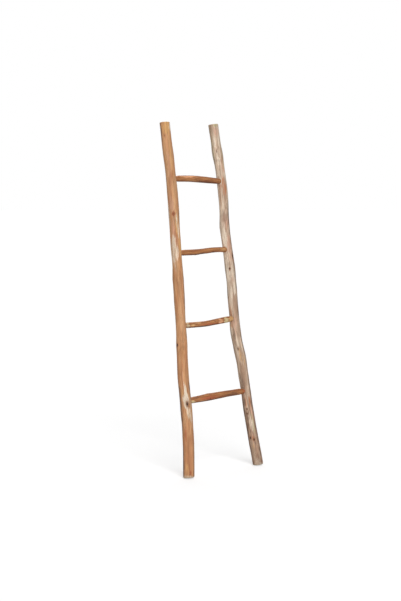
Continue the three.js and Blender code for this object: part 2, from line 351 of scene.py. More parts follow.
def groove_relief(pole, grooves, turns, places):
    """Long narrow hollows along the grain: [height share, turn, half length, half width, depth]."""
    relief = np.zeros(np.shape(places))
    for height, turn, half_length, half_width, depth in grooves:
        along = (places - height * pole.length) / half_length
        across = 2 * np.pi * wrapped(turns - turn) * pole.waves[:, 0].mean() / half_width
        relief -= depth * np.exp(-(across ** 2)) * (1 - smooth_step(np.abs(along), groove_full_share, 1))
    return relief


def rail_unevenness(pole, seed, turns, places):
    """Flats left by the drawknife, fine ripples, and between the pole's ends its natural swellings."""
    flats = 1 - 2 * np.abs(unevenness(seed, turns, places, knife_flat_cells))
    scrapes = unevenness(seed + 1, turns, places, scrape_cells)
    ripples = unevenness(seed + 2, turns, places, rail_ripple_cells)
    swellings = unevenness(seed + swelling_seed_step, turns, places, swelling_cells)
    from_end = np.minimum(places, pole.length - places)
    swelling = rail_swelling * smooth_step(from_end, swelling_starts, swelling_full)
    knife_work = rail_relief * (flat_share * flats + scrape_share * scrapes) + rail_ripple * ripples
    return knife_work - rail_peeled + swelling * (swellings + rail_swelling_lift)


def rung_unevenness(pole, seed, turns, places):
    """Soft ridges along the branch, and flat knife cuts on both whittled shoulders."""
    ridges = 1 - 2 * np.abs(unevenness(seed, turns, places, rung_ridge_cells))
    ripples = unevenness(seed + 1, turns, places, rung_ripple_cells)
    natural = rung_relief * ridges + rung_ripple * ripples - rung_peeled
    whittled = shoulder_share(pole, places)
    corner = np.abs(((turns * facet_count + seed * facet_turn_per_seed) % 1) - 0.5) * 2
    cuts = facet_depth * (corner ** 2 - facet_level_share)
    return (natural * (1 - whittled) + cuts * whittled) * body_share(pole, places)


def tenon_lengths(pole):
    """Where the tenons end and the branch begins: the last round ring at each end."""
    return pole.heights[1], pole.length - pole.heights[-2]


def from_tenon(pole, places):
    """How far a place on the branch is from the nearer tenon."""
    left, right = tenon_lengths(pole)
    return np.minimum(places - left, pole.length - right - places)


def shoulder_share(pole, places):
    """1 on the whittled shoulders, falling to 0 where the natural branch begins."""
    edges = [share * shoulder_length for share in shoulder_edge_shares]
    return 1 - smooth_step(from_tenon(pole, places), *edges)


def body_share(pole, places):
    """0 on the round tenons and 1 on the branch between them."""
    return smooth_step(from_tenon(pole, places), 0, whittled_length)


def distance_from_axis(points, pole):
    """How far points are from a pole's straight axis."""
    local = pole.to_pole(points)
    return np.hypot(local[..., 0], local[..., 1])


# Skins

def stations(pole, step, fine_places):
    """Places for the rings of a skin between its rounded ends, closer together near joints and knots."""
    last = pole.length - pole.end_rounding
    places = [pole.start_rounding]
    while places[-1] < last:
        nearest = np.abs(fine_places - places[-1]).min()
        places.append(places[-1] + (joint_step if nearest < joint_reach else step))
    places[-1] = last
    return np.array(places)


def quarter_round(rounding):
    """From a flat end's edge to the skin: how far along the pole each ring is, and how far inset."""
    angles = np.linspace(0, math.pi / 2, rounding_steps, endpoint=False)
    return rounding * (1 - np.cos(angles)), rounding * (1 - np.sin(angles))


def skin_rings(pole, places, rounds, relief):
    """Rings of points from the middle of one flat end over the skin to the middle of the other."""
    start_places, start_insets = quarter_round(pole.start_rounding)
    end_places, end_insets = quarter_round(pole.end_rounding)
    cap_shares = np.arange(1, cap_rings) / cap_rings
    whole = np.ones(len(start_places) + len(places) + len(end_places))
    on_start = np.zeros(cap_rings - 1)
    on_end = np.full(cap_rings - 1, pole.length)
    levels = np.concatenate([on_start, start_places, places, pole.length - end_places[::-1], on_end])
    insets = np.concatenate([
        np.full(cap_rings - 1, pole.start_rounding), start_insets, 0 * places, end_insets[::-1],
        np.full(cap_rings - 1, pole.end_rounding),
    ])
    shares = np.concatenate([cap_shares, whole, cap_shares[::-1]])
    turns, levels = np.meshgrid(np.arange(rounds) / rounds, levels)
    bevel = bevel_widening + bevel_unevenness * unevenness(bevel_seed, turns, levels, bevel_cells)
    skin = pole.skin_radius(turns, levels) + relief(turns, levels)
    radius = (skin - insets[:, None] * bevel) * shares[:, None]
    angle = 2 * np.pi * turns
    middles = pole.middle_at(levels[:, 0])[:, None, :]
    across = np.stack([radius * np.cos(angle), radius * np.sin(angle)], axis=-1) + middles
    return np.concatenate([across, levels[..., None]], axis=-1)


def closed_over(rings):
    """The corners and faces of a closed surface over rings, with a point in the middle of each end."""
    count, rounds = rings.shape[:2]
    corners = np.concatenate([rings.reshape(-1, 3), [rings[0].mean(axis=0), rings[-1].mean(axis=0)]])
    step, side = np.meshgrid(np.arange(count - 1), np.arange(rounds), indexing="ij")
    beside = (side + 1) % rounds
    here = step * rounds
    sides = np.stack([here + side, here + beside, here + rounds + beside, here + rounds + side], axis=-1)
    around = np.arange(rounds)
    after = (around + 1) % rounds
    last = (count - 1) * rounds
    first_fan = [[len(corners) - 2, next_one, this] for this, next_one in zip(around, after)]
    last_fan = [[len(corners) - 1, last + this, last + next_one] for this, next_one in zip(around, after)]
    return corners, sides.reshape(-1, 4).tolist() + first_fan + last_fan


def new_piece(name, corners, faces):
    mesh = bpy.data.meshes.new(name)
    mesh.from_pydata(np.asarray(corners).tolist(), [], faces)
    piece = bpy.data.objects.new(name, mesh)
    bpy.context.scene.collection.objects.link(piece)
    return piece


def cut_away(piece, tool):
    """Cuts a closed shape out of a piece, and removes the shape."""
    cut = piece.modifiers.new("cut", "BOOLEAN")
    cut.operation = "DIFFERENCE"
    cut.solver = "EXACT"
    cut.object = tool
    whole = piece.data
    evaluated = piece.evaluated_get(bpy.context.evaluated_depsgraph_get())
    piece.data = bpy.data.meshes.new_from_object(evaluated)
    piece.modifiers.clear()
    bpy.data.meshes.remove(whole)
    bpy.data.objects.remove(tool)


def smooth_but_sharp_over(piece, degrees):
    piece.data.shade_smooth()
    piece.data.set_sharp_from_angle(angle=math.radians(degrees))


def frame_along(axis):
    """Two directions square to an axis that isn't upright, and the axis, as rows."""
    across = unit(np.cross(axis, upwards))
    return np.array([across, np.cross(axis, across), axis])


def round_rings(profile, sides):
    """Rings of a round shape about +Z, from [radius, height] pairs."""
    profile = np.array(profile)
    angle = 2 * np.pi * np.arange(sides) / sides
    radius = profile[:, :1]
    heights = np.repeat(profile[:, 1:], sides, axis=1)
    return np.stack([radius * np.cos(angle), radius * np.sin(angle), heights], axis=-1)


def turned_shape(profile, sides, origin, axis):
    """The corners and faces of a round shape about an axis, from [radius, height] pairs."""
    return closed_over(round_rings(profile, sides) @ frame_along(axis) + origin)


def joined_shapes(name, shapes):
    """One object of several closed shapes that don't touch."""
    corners = []
    faces = []
    for shape_corners, shape_faces in shapes:
        faces += [[corner + len(corners) for corner in face] for face in shape_faces]
        corners += np.asarray(shape_corners).tolist()
    return new_piece(name, corners, faces)


# Screws

screw_length = 30 * mm
screw_radius = 2 * mm
screw_head_radius = 4 * mm
screw_head_height = 2.8 * mm
screw_rim_height = 0.5 * mm
screw_point_length = 5 * mm
screw_thread_length = 18 * mm
screw_thread_depth = 0.6 * mm
screw_pitch = 1.8 * mm
screw_dome = 0.25 * mm
screw_edge = 0.15 * mm
screw_neck = 0.1 * mm
dome_shares = ((0.8, 0.4), (0.5, 0.8), (0.2, 1.0))
thread_sharpness = 3.2
thread_tip_share = 0.02
recess_span = 4.4 * mm
recess_width = 1.1 * mm
recess_depth = 1.7 * mm
recess_overrun = 1 * mm
recess_floor_share = 0.45
screw_crease = 32
screw_turns = 7
screw_sides = 40
thread_rings_per_turn = 7
cut_overrun = 6 * mm
bore_centre_radius = 0.05 * mm
hole_sides = 72
mortise_sides = 96


def screw_place(node):
    """The middle of a packed screw's head, at the top of its rim."""
    return end_centre(packed_points(node), ladder_back)


def thread_radius(turns, depth):
    """The radius of the threaded point, for arrays of angles and depths below the head."""
    from_point = screw_length - depth
    taper = np.clip(from_point / screw_point_length, thread_tip_share, 1)
    fade = smooth_step(from_point, 0, 2 * screw_pitch)
    fade *= 1 - smooth_step(from_point, screw_thread_length - screw_pitch, screw_thread_length)
    phase = (depth / screw_pitch - turns) % 1
    ridge = np.clip(1 - np.abs(phase - 0.5) * thread_sharpness, 0, 1)
    core = screw_radius - screw_thread_depth
    return taper * core + fade * screw_thread_depth * ridge


def screw_rings():
    """Rings of one screw along +Z from its point, at minus its length, to the top of its domed head."""
    depths = np.arange(screw_length, screw_head_height + screw_edge, -screw_pitch / thread_rings_per_turn)
    turns, depths = np.meshgrid(np.arange(screw_sides) / screw_sides, depths)
    angle = 2 * np.pi * turns
    radius = thread_radius(turns, depths)
    threaded = np.stack([radius * np.cos(angle), radius * np.sin(angle), -depths], axis=-1)
    head = [
        [screw_radius - screw_thread_depth + screw_neck, -screw_head_height],
        [screw_head_radius - screw_edge, -screw_rim_height - screw_edge],
        [screw_head_radius, -screw_rim_height],
        [screw_head_radius, -screw_edge],
        [screw_head_radius - screw_edge, 0],
    ]
    head += [[share * screw_head_radius, rise * screw_dome] for share, rise in dome_shares]
    return np.concatenate([threaded, round_rings(head, screw_sides)])


def cross_recess():
    """A tapered cross that cuts the driver's recess into the top of a head."""
    half_span = recess_span / 2
    half_width = recess_width / 2
    quarter = [(half_width, half_width), (half_width, half_span), (-half_width, half_span)]
    outline = []
    for turn in range(4):
        spin = Matrix.Rotation(turn * math.pi / 2, 2)
        outline += [spin @ Vector(point) for point in quarter]
    levels = ((-recess_depth, recess_floor_share), (recess_overrun, 1.0))
    corners = [(point.x * share, point.y * share, level) for level, share in levels for point in outline]
    count = len(outline)
    faces = [[side, (side + 1) % count, count + (side + 1) % count, count + side] for side in range(count)]
    faces += [list(reversed(range(count))), list(range(count, 2 * count))]
    return new_piece("cross_recess", corners, faces)


def make_screw(node, material):
    """One wood screw, driven into the back of a rail, with a cross recess and a cut thread."""
    screw = new_piece(node + "_driven", *closed_over(screw_rings()))
    cut_away(screw, cross_recess())
    smooth_but_sharp_over(screw, screw_crease)
    # Each screw stops at a turn of its own, worked out from its name
    spin = Matrix.Rotation(sum(map(ord, node)) % screw_turns, 4, "Z")
    axes = frame_along(ladder_back).T
    placed = Matrix(axes.tolist()).to_4x4()
    placed.translation = Vector(screw_place(node))
    screw.data.transform(placed @ spin)
    screw.data.materials.append(material)
    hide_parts(node)
    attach(screw, body)


def screw_hole(node):
    """The countersunk hole for one screw, open at the back of the rail."""
    profile = [
        [bore_centre_radius, -screw_length - fit_gap],
        [screw_radius + fit_gap, -screw_length - fit_gap],
        [screw_radius + fit_gap, -screw_head_height - fit_gap],
        [screw_head_radius + fit_gap, -screw_rim_height - fit_gap],
        [screw_head_radius + fit_gap, cut_overrun],
        [bore_centre_radius, cut_overrun],
    ]
    return turned_shape(profile, hole_sides, screw_place(node), ladder_back)


def mortise(rung, at_start):
    """The blind bore for one tenon of a rung, as a cylinder that runs out past the rail's skin."""
    towards_branch = unit(rung.end - rung.start) * (1 if at_start else -1)
    tenon_end = rung.start if at_start else rung.end
    reach = tenon_lengths(rung)[0 if at_start else 1] + cut_overrun
    bore_radius = tenon_diameter / 2 + fit_gap
    profile = [
        [bore_centre_radius, -fit_gap], [bore_radius, -fit_gap], [bore_radius, reach],
        [bore_centre_radius, reach],
    ]
    return turned_shape(profile, mortise_sides, tenon_end, towards_branch)


# Drying cracks at the poles' ends

crack_steps = 9
crack_overrun = 2 * mm
crack_wander = 0.012
closed_crack_width = 0.03 * mm
# The faces between one triangle of a wedge and the next, split so that its two walls never cross
wedge_faces = ((0, 1, 4), (0, 4, 3), (1, 2, 5), (1, 5, 4), (2, 0, 5), (0, 3, 5))

# For each rail: at the tip or the sole, turn, depth, width at the end, length along the skin in mm
rail_cracks = {
    "left_rail": [("tip", 0.31, 15, 0.9, 46), ("tip", 0.86, 11, 0.6, 30), ("sole", 0.13, 13, 0.8, 38)],
    "right_rail": [("tip", 0.05, 14, 0.8, 52), ("sole", 0.42, 16, 0.9, 44), ("sole", 0.93, 9, 0.5, 24)],
}


def end_crack(pole, end, turn, depth, width, reach, seed):
    """A wedge for a crack that is widest at a pole's end and closes along its skin."""
    draw = np.random.default_rng(seed)
    shares = np.linspace(0, 1, crack_steps)
    places = shares * reach * mm
    places[0] = -crack_overrun
    if end == "tip":
        places = pole.length - places
    wander = np.cumsum(draw.uniform(-crack_wander, crack_wander, crack_steps))
    on_pole = np.clip(places, 0, pole.length)
    skin = pole.skin_radius(turn + wander, on_pole)
    inner = skin - depth * mm * (1 - shares ** 2) + shares * crack_overrun / 2
    outer = skin + crack_overrun
    half_width = (1 - shares) * width * mm / 2 + closed_crack_width
    angle = 2 * np.pi * (turn + wander)
    outwards = np.stack([np.cos(angle), np.sin(angle)], axis=-1)
    sideways = np.stack([-np.sin(angle), np.cos(angle)], axis=-1)
    middles = pole.middle_at(on_pole)
    open_side = middles + outwards * outer[:, None]
    spread_out = sideways * (half_width * outer / skin)[:, None]
    inner_side = middles + outwards * inner[:, None]
    rings = np.stack([inner_side, open_side - spread_out, open_side + spread_out], axis=1)
    levels = np.broadcast_to(places[:, None, None], rings.shape[:2] + (1,))
    rings = np.concatenate([rings, levels], axis=-1)
    if end == "tip":
        rings = rings[::-1]
    firsts = range(0, 3 * (crack_steps - 1), 3)
    last = 3 * (crack_steps - 1)
    faces = [[first + corner for corner in face] for first in firsts for face in wedge_faces]
    return pole.to_ladder(rings.reshape(-1, 3)), faces + [[0, 2, 1], [last, last + 1, last + 2]]


# What the shaders read from the skins

# Marks of the dark kind are partly dark stains and partly painted shade along the rails' edges and the
# rungs' undersides.
mark_kinds = ("pale", "golden", "red", "green", "dark", "pink")

# A mark's outline: how round its pointed ends are, how soon it is full inside, and how ragged it is
mark_point = 1.35
mark_firmness = 1.6
coarse_raggedness = 0.2
fine_raggedness = 0.22
coarse_ragged_cells = (14, 40 * mm)
fine_ragged_cells = (34, 15 * mm)

# Marks on the unseen side: how far round from its middle, and the limits that their sizes are drawn in
unseen_turn_reach = 0.2
unseen_height_shares = (0.03, 0.97)
unseen_half_lengths = (15 * mm, 75 * mm)
unseen_half_widths = (0.04, 0.12)
unseen_strengths = (0.35, 0.85)
unseen_rail_marks = 26
unseen_rung_marks = 3

knot_parting = 0.3
knot_parting_reach = 4.0
far_from_knots = 4.0
cut_depth_low = 0.3 * mm
cut_depth_high = 1.0 * mm
scuff_low = 4 * mm
scuff_high = 11 * mm
scuff_cells = (24, 12 * mm)


def grain_places(pole, knots, turns, places, radius):
    """Where a point lies in the straightened pole, with the grain parting round the knots."""
    turned = np.zeros(np.shape(places))
    for knot in knots:
        distance = knot.distance(pole, turns, places)
        parting = np.exp(-((distance / knot_parting_reach) ** 2)) / (distance ** 2 + knot_parting)
        turned += wrapped(turns - knot.turn) * parting
    angle = 2 * np.pi * (turns - turned)
    return np.stack([radius * np.cos(angle), radius * np.sin(angle), places], axis=-1)


def marks_over(pole, turns, places, marks, seed):
    """How strongly each kind of mark covers each point: full in its middle, nothing past its outline."""
    covers = {kind: np.zeros(len(places)) for kind in mark_kinds}
    ragged = coarse_raggedness * unevenness(seed, turns, places, coarse_ragged_cells)
    ragged += fine_raggedness * unevenness(seed + 1, turns, places, fine_ragged_cells)
    for kind, height, turn, half_length, half_width, strength in marks:
        along = np.abs(places / pole.length - height) / half_length
        across = np.abs(wrapped(turns - turn)) / half_width
        reach = (along ** mark_point + across ** mark_point) ** (1 / mark_point)
        cover = strength * np.clip(mark_firmness * (1 - reach + ragged), 0, 1)
        covers[kind] = np.maximum(covers[kind], cover)
    return [covers[kind] for kind in mark_kinds]


def seen_marks(pole, shares):
    """Marks from a listed table that places them across the half width in the picture."""
    return [
        (kind, height, pole.picture_turn(across), *rest)
        for kind, rows in shares.items()
        for height, across, *rest in rows
    ]


def unseen_marks(pole, kinds, seed, count):
    """Marks of the same kinds scattered over the side that the picture doesn't show."""
    draw = np.random.default_rng(seed)
    marks = []
    for _ in range(count):
        kind = kinds[draw.integers(len(kinds))]
        turn = pole.picture_turns + 0.5 + draw.uniform(-unseen_turn_reach, unseen_turn_reach)
        height = draw.uniform(*unseen_height_shares)
        half_length = draw.uniform(*unseen_half_lengths) / pole.length
        half_width = draw.uniform(*unseen_half_widths)
        strength = draw.uniform(*unseen_strengths)
        marks.append((kind, height, turn, half_length, half_width, strength))
    return marks


def write_attribute(mesh, name, columns):
    attribute = mesh.attributes.new(name, "FLOAT_VECTOR", "POINT")
    attribute.data.foreach_set("vector", np.ravel(np.stack(columns, axis=-1)).astype(np.float32))


def describe_skin(piece, pole, knots, marks, tones, relief, seed):
    """Writes the grain, marks, knots, tone, cut faces and scuffed sole onto a finished skin."""
    mesh = piece.data
    points = np.empty(3 * len(mesh.vertices))
    mesh.vertices.foreach_get("co", points)
    local = pole.to_pole(points.reshape(-1, 3))
    places = np.clip(local[:, 2], 0, pole.length)
    offset = local[:, :2] - pole.middle_at(places)
    turns = np.arctan2(offset[:, 1], offset[:, 0]) / (2 * np.pi)
    radius = np.hypot(offset[:, 0], offset[:, 1])
    under_skin = pole.skin_radius(turns, places) + relief(turns, places) - radius
    cut = smooth_step(under_skin, cut_depth_low, cut_depth_high)
    nearest = np.full(len(places), far_from_knots)
    darkness = np.zeros(len(places))
    for knot in knots:
        distance = knot.distance(pole, turns, places)
        darkness = np.where(distance < nearest, knot.darkness, darkness)
        nearest = np.minimum(nearest, distance)
    tone = np.interp(places / pole.length, *zip(*tones))
    ragged = (scuff_high - scuff_low) * unevenness(seed, turns, places, scuff_cells)
    scuffed = 1 - smooth_step(places + ragged, scuff_low, scuff_high)
    covers = marks_over(pole, turns, places, marks, seed)
    write_attribute(mesh, "grain", grain_places(pole, knots, turns, places, radius).T)
    write_attribute(mesh, "marks", covers[:3])
    # Green, dark and pink marks: stains, and in the dark ones also painted shade along edges and undersides.
    write_attribute(mesh, "stains_and_painted_shade", covers[3:])
    write_attribute(mesh, "knots", [nearest, darkness, 0 * nearest])
    write_attribute(mesh, "wood", [cut, tone, scuffed])


# What the picture shows on each piece. Knots: height share of the length, across share
# of the half width in the picture (turns for the unseen ones), radius in mm, lengthening, darkness.
# Marks, by kind: height share, across share, half length share, half width in turns, strength.
# Tones: height share, and darkness from -1 (dark) to 1 (light). On the rungs across runs downwards.

rail_knot_shares = {
    "left_rail": [
        (0.371, -0.74, 4.5, 1.5, 1.0), (0.205, 0.26, 5.2, 2.2, 1.0), (0.738, -0.03, 3.5, 1.3, 0.4),
        (0.961, -0.3, 3, 1.5, 0.3), (0.009, 0.2, 3, 1.2, 0.4), (0.168, -0.86, 3.2, 1.5, 0.9),
    ],
    "right_rail": [
        (0.578, -0.05, 3.4, 1.4, 1.0), (0.167, -0.25, 3.2, 1.5, 1.0), (0.153, -0.38, 3.2, 1.5, 1.0),
        (0.082, -0.55, 3.8, 1.7, 1.0), (0.076, 0.08, 3.6, 1.7, 1.0), (0.344, -0.13, 3, 2.2, 0.8),
        (0.92, -0.12, 2.6, 2.4, 0.5), (0.613, 0.86, 5, 3.6, 1.0),
    ],
}
unseen_rail_knot_shares = {
    "left_rail": [(0.55, 0.18, 6, 1.4, 0.9), (0.9, 0.1, 4.5, 1.5, 0.8), (0.13, 0.05, 4.5, 1.6, 0.7)],
    "right_rail": [
        (0.4, 0.1, 6, 1.4, 0.9), (0.7, 0.3, 5.5, 1.5, 0.8), (0.27, 0.05, 4.5, 1.5, 0.8),
        (0.92, 0.2, 3.5, 1.6, 0.8),
    ],
}

# Kinds of mark on the unseen side. A kind that is named more often comes more often.
unseen_rail_kinds = {
    "left_rail": ("pale", "golden", "red", "pink", "dark"),
    "right_rail": ("pale", "pale", "pale", "pink", "red", "dark"),
}
unseen_rung_kinds = ("golden", "red", "dark", "pink")

rail_mark_shares = {
    "left_rail": {
        "pale": [
            (0.985, 0.88, 0.022, 0.05, 0.6), (0.735, -0.85, 0.05, 0.05, 0.5),
            (0.722, 0.44, 0.03, 0.03, 0.6), (0.69, 0.65, 0.03, 0.05, 0.5),
            (0.668, -0.35, 0.018, 0.06, 0.6), (0.635, -0.4, 0.055, 0.22, 0.55),
            (0.283, -0.08, 0.032, 0.018, 0.2), (0.212, 0.14, 0.048, 0.12, 1.0),
            (0.187, 0.3, 0.032, 0.07, 0.6), (0.174, 0.68, 0.044, 0.05, 0.9),
        ],
        "golden": [
            (0.985, 0.1, 0.03, 0.2, 0.75), (0.9, 0.45, 0.08, 0.05, 0.45),
            (0.708, 0.42, 0.05, 0.035, 1.0), (0.645, 0.75, 0.05, 0.06, 0.7),
            (0.35, 0.1, 0.04, 0.06, 0.4), (0.235, -0.35, 0.02, 0.03, 0.6),
            (0.204, 0.42, 0.014, 0.035, 0.6), (0.03, -0.15, 0.02, 0.06, 0.4),
        ],
        "red": [
            (0.961, -0.3, 0.01, 0.05, 0.3), (0.738, -0.03, 0.009, 0.06, 1.0),
            (0.5, 0.5, 0.1, 0.04, 0.3), (0.19, -0.5, 0.05, 0.02, 0.45),
            (0.168, -0.88, 0.022, 0.03, 0.7), (0.12, -0.4, 0.05, 0.05, 0.4),
            (0.014, 0.3, 0.009, 0.05, 0.8),
        ],
        "green": [(0.2, 0.78, 0.03, 0.05, 0.6)],
        # Dark marks from about 0.85 across outwards, either way, are painted shade along the rail's two
        # edges. The rest are dark stains.
        "dark": [
            (0.97, -0.92, 0.055, 0.075, 0.85), (0.86, -0.97, 0.09, 0.04, 0.4),
            (0.74, -0.95, 0.03, 0.05, 0.45), (0.73, 0.9, 0.03, 0.05, 0.6),
            (0.72, 0.05, 0.035, 0.03, 0.35), (0.5, 0.93, 0.11, 0.05, 0.55),
            (0.47, -0.97, 0.11, 0.035, 0.4), (0.255, 0.93, 0.03, 0.07, 0.85),
            (0.225, 0.93, 0.045, 0.065, 0.8), (0.2, -0.9, 0.12, 0.08, 1.0),
            (0.07, 0.97, 0.09, 0.05, 0.6), (0.05, -0.92, 0.07, 0.075, 0.9),
            (0.012, -0.85, 0.014, 0.05, 0.8), (0.012, 0.9, 0.014, 0.04, 0.7),
        ],
        "pink": [
            (0.86, -0.1, 0.1, 0.1, 0.3), (0.77, -0.4, 0.04, 0.1, 0.6), (0.69, -0.35, 0.05, 0.13, 0.6),
            (0.645, -0.3, 0.08, 0.2, 0.6),
        ],
    },
    "right_rail": {
        "pale": [
            (0.95, -0.3, 0.03, 0.08, 0.7), (0.905, -0.1, 0.04, 0.07, 0.9),
            (0.67, -0.25, 0.05, 0.12, 0.9), (0.57, -0.35, 0.07, 0.12, 0.95),
            (0.52, 0.42, 0.032, 0.06, 1.0), (0.51, -0.25, 0.05, 0.05, 0.8),
            (0.395, -0.8, 0.03, 0.06, 0.5), (0.125, 0.15, 0.04, 0.06, 0.6),
            (0.015, 0.05, 0.014, 0.08, 0.6),
        ],
        "golden": [
            (0.41, -0.85, 0.012, 0.05, 0.7), (0.32, 0.2, 0.04, 0.12, 0.45),
            (0.055, -0.2, 0.02, 0.1, 0.3),
        ],
        "red": [
            (0.92, -0.12, 0.022, 0.025, 0.5), (0.815, 0.3, 0.045, 0.15, 0.6),
            (0.578, -0.05, 0.012, 0.035, 1.0), (0.445, -0.55, 0.045, 0.045, 0.7),
            (0.188, 0.42, 0.02, 0.045, 0.85), (0.185, -0.3, 0.03, 0.07, 0.3),
            (0.086, -0.55, 0.014, 0.05, 0.6), (0.079, 0.08, 0.016, 0.06, 0.8),
        ],
        "green": [
            (0.996, 0.4, 0.008, 0.1, 1.0), (0.93, -0.8, 0.08, 0.06, 0.7), (0.9, 0.75, 0.045, 0.06, 0.6),
            (0.12, 0.42, 0.035, 0.05, 0.9),
        ],
        # Dark marks from about 0.75 across outwards, either way, are painted shade along the rail's two
        # edges. The rest are dark stains.
        "dark": [
            (0.975, -0.9, 0.03, 0.06, 0.45), (0.945, 0.88, 0.05, 0.035, 0.5),
            (0.9, -0.85, 0.08, 0.05, 0.45), (0.73, 0.0, 0.025, 0.2, 0.4), (0.73, 0.9, 0.06, 0.07, 0.85),
            (0.72, -0.92, 0.03, 0.05, 0.5), (0.612, 0.9, 0.02, 0.05, 1.0),
            (0.6, 0.92, 0.12, 0.068, 1.0), (0.58, -0.97, 0.12, 0.035, 0.4),
            (0.575, 0.83, 0.035, 0.06, 0.6), (0.525, 0.9, 0.03, 0.06, 0.9),
            (0.51, -0.9, 0.05, 0.05, 0.6), (0.485, -0.75, 0.03, 0.05, 0.25),
            (0.46, 0.93, 0.09, 0.06, 0.85), (0.44, -0.1, 0.04, 0.04, 0.35),
            (0.385, -0.3, 0.035, 0.05, 0.5), (0.36, 0.93, 0.12, 0.06, 0.95),
            (0.36, -0.4, 0.04, 0.05, 0.4), (0.35, 0.25, 0.02, 0.03, 0.5),
            (0.245, -0.4, 0.05, 0.12, 0.6), (0.22, 0.92, 0.07, 0.065, 0.85),
            (0.19, -0.5, 0.02, 0.04, 0.7), (0.185, 0.85, 0.03, 0.06, 0.9),
            (0.185, -0.8, 0.03, 0.06, 0.9), (0.175, -0.88, 0.065, 0.09, 1.0),
            (0.157, -0.1, 0.012, 0.03, 0.5), (0.14, -0.45, 0.04, 0.05, 0.6),
            (0.13, 0.93, 0.14, 0.055, 0.9), (0.122, -0.55, 0.016, 0.05, 0.9),
            (0.115, 0.85, 0.035, 0.05, 0.6), (0.11, -0.8, 0.03, 0.06, 0.9),
            (0.108, -0.9, 0.05, 0.085, 1.0), (0.1, -0.3, 0.014, 0.03, 0.6),
            (0.075, 0.85, 0.03, 0.06, 0.7), (0.065, 0.2, 0.012, 0.04, 0.5),
            (0.06, -0.85, 0.05, 0.08, 0.8), (0.045, 0.8, 0.025, 0.06, 1.0),
            (0.02, 0.3, 0.03, 0.12, 0.4), (0.008, 0.75, 0.015, 0.05, 0.7),
            (0.008, -0.8, 0.012, 0.05, 0.8),
        ],
        "pink": [
            (0.978, 0.35, 0.025, 0.12, 0.6), (0.882, 0.7, 0.035, 0.09, 0.9),
            (0.708, 0.1, 0.05, 0.2, 0.55), (0.645, 0.45, 0.06, 0.1, 1.0), (0.545, 0.1, 0.03, 0.12, 0.6),
            (0.415, 0.05, 0.05, 0.1, 0.35), (0.145, 0.5, 0.04, 0.07, 0.6),
            (0.085, 0.1, 0.03, 0.1, 0.35), (0.05, 0.15, 0.03, 0.12, 0.3),
        ],
    },
}
rail_tone_shares = {
    "left_rail": [
        (0, -0.8), (0.08, -0.5), (0.2, -0.2), (0.3, -0.3), (0.4, 0), (0.55, 0), (0.65, 0.2), (0.8, 0.3),
        (1, 0.1),
    ],
    "right_rail": [
        (0, -0.9), (0.08, -0.75), (0.13, -0.3), (0.2, -0.7), (0.3, -0.4), (0.4, -0.2), (0.46, -0.35),
        (0.51, 0.1), (0.62, 0.6), (0.71, -0.1), (0.8, 0.1), (0.9, 0.6), (1, -0.1),
    ],
}

# Grooves: height share, across share, half length in mm, half width in mm, depth in mm
rail_groove_shares = {
    "left_rail": [(0.465, 0.88, 60, 1.8, 0.7), (0.845, -0.9, 45, 2.0, 0.6)],
    "right_rail": [(0.612, 0.9, 26, 1.9, 1.5), (0.344, -0.13, 16, 1.2, 0.6), (0.9, -0.8, 40, 2.2, 0.8)],
}
rung_knot_shares = {
    "rung_1": [(0.5, 0.5, 2.6, 1.5, 0.7)],
    "rung_2": [(0.28, 0.8, 2.8, 1.5, 0.9), (0.42, 0.85, 2.6, 1.5, 0.9)],
    "rung_3": [(0.6, -0.4, 2.2, 1.6, 0.6)],
    "rung_4": [(0.36, 0.3, 2.2, 1.6, 0.6)],
}
# Dark marks near across 0.85 to 0.9 run along each rung's underside, and those near -0.85 to -0.9 along its
# upper edge: both are painted shade. The other dark marks are stains.
rung_mark_shares = {
    "rung_1": {
        "dark": [(0.6, 0.85, 0.35, 0.08, 0.9)],
        "pink": [(0.3, -0.6, 0.2, 0.08, 0.5)],
    },
    "rung_2": {
        "pale": [(0.955, -0.3, 0.03, 0.3, 0.7)],
        "golden": [(0.86, -0.2, 0.07, 0.2, 0.5)],
        "dark": [
            (0.68, 0.6, 0.04, 0.1, 0.7), (0.5, -0.9, 0.4, 0.05, 0.4), (0.45, 0.9, 0.45, 0.09, 0.9),
        ],
    },
    "rung_3": {
        "pale": [(0.12, 0.0, 0.05, 0.3, 0.85)],
        "golden": [
            (0.885, 0.0, 0.055, 0.5, 1.0), (0.3, -0.6, 0.15, 0.08, 0.5), (0.2, 0.0, 0.07, 0.12, 0.5),
        ],
        "red": [(0.5, 0.2, 0.2, 0.1, 0.4)],
        "green": [(0.795, 0.1, 0.045, 0.35, 1.0)],
        "dark": [(0.6, -0.85, 0.25, 0.05, 0.5), (0.42, 0.88, 0.42, 0.1, 1.0)],
        "pink": [(0.695, -0.1, 0.05, 0.28, 1.0)],
    },
    "rung_4": {
        "golden": [(0.095, 0.0, 0.05, 0.08, 0.8)],
        "red": [(0.925, 0.2, 0.04, 0.4, 0.7), (0.38, 0.1, 0.17, 0.15, 0.8)],
        "green": [(0.1, 0.6, 0.06, 0.12, 1.0)],
        "dark": [
            (0.72, 0.2, 0.14, 0.25, 0.5), (0.38, 0.86, 0.38, 0.08, 1.0), (0.15, -0.65, 0.12, 0.05, 0.5),
        ],
        "pink": [(0.3, 0.5, 0.15, 0.03, 0.4)],
    },
}
rung_tone_shares = [(0, 0.3), (0.15, 0.1), (0.5, 0), (0.85, 0.1), (1, 0.3)]


# Shader nodes

def linear(red, green, blue):
    """A colour written from 0 to 255 as it looks, for a shader."""
    def channel(value):
        share = value / 255
        return share / 12.92 if share <= 0.04045 else ((share + 0.055) / 1.055) ** 2.4
    return channel(red), channel(green), channel(blue), 1


def feed(tree, socket, value):
    if isinstance(value, bpy.types.NodeSocket):
        tree.links.new(value, socket)
    else:
        socket.default_value = value


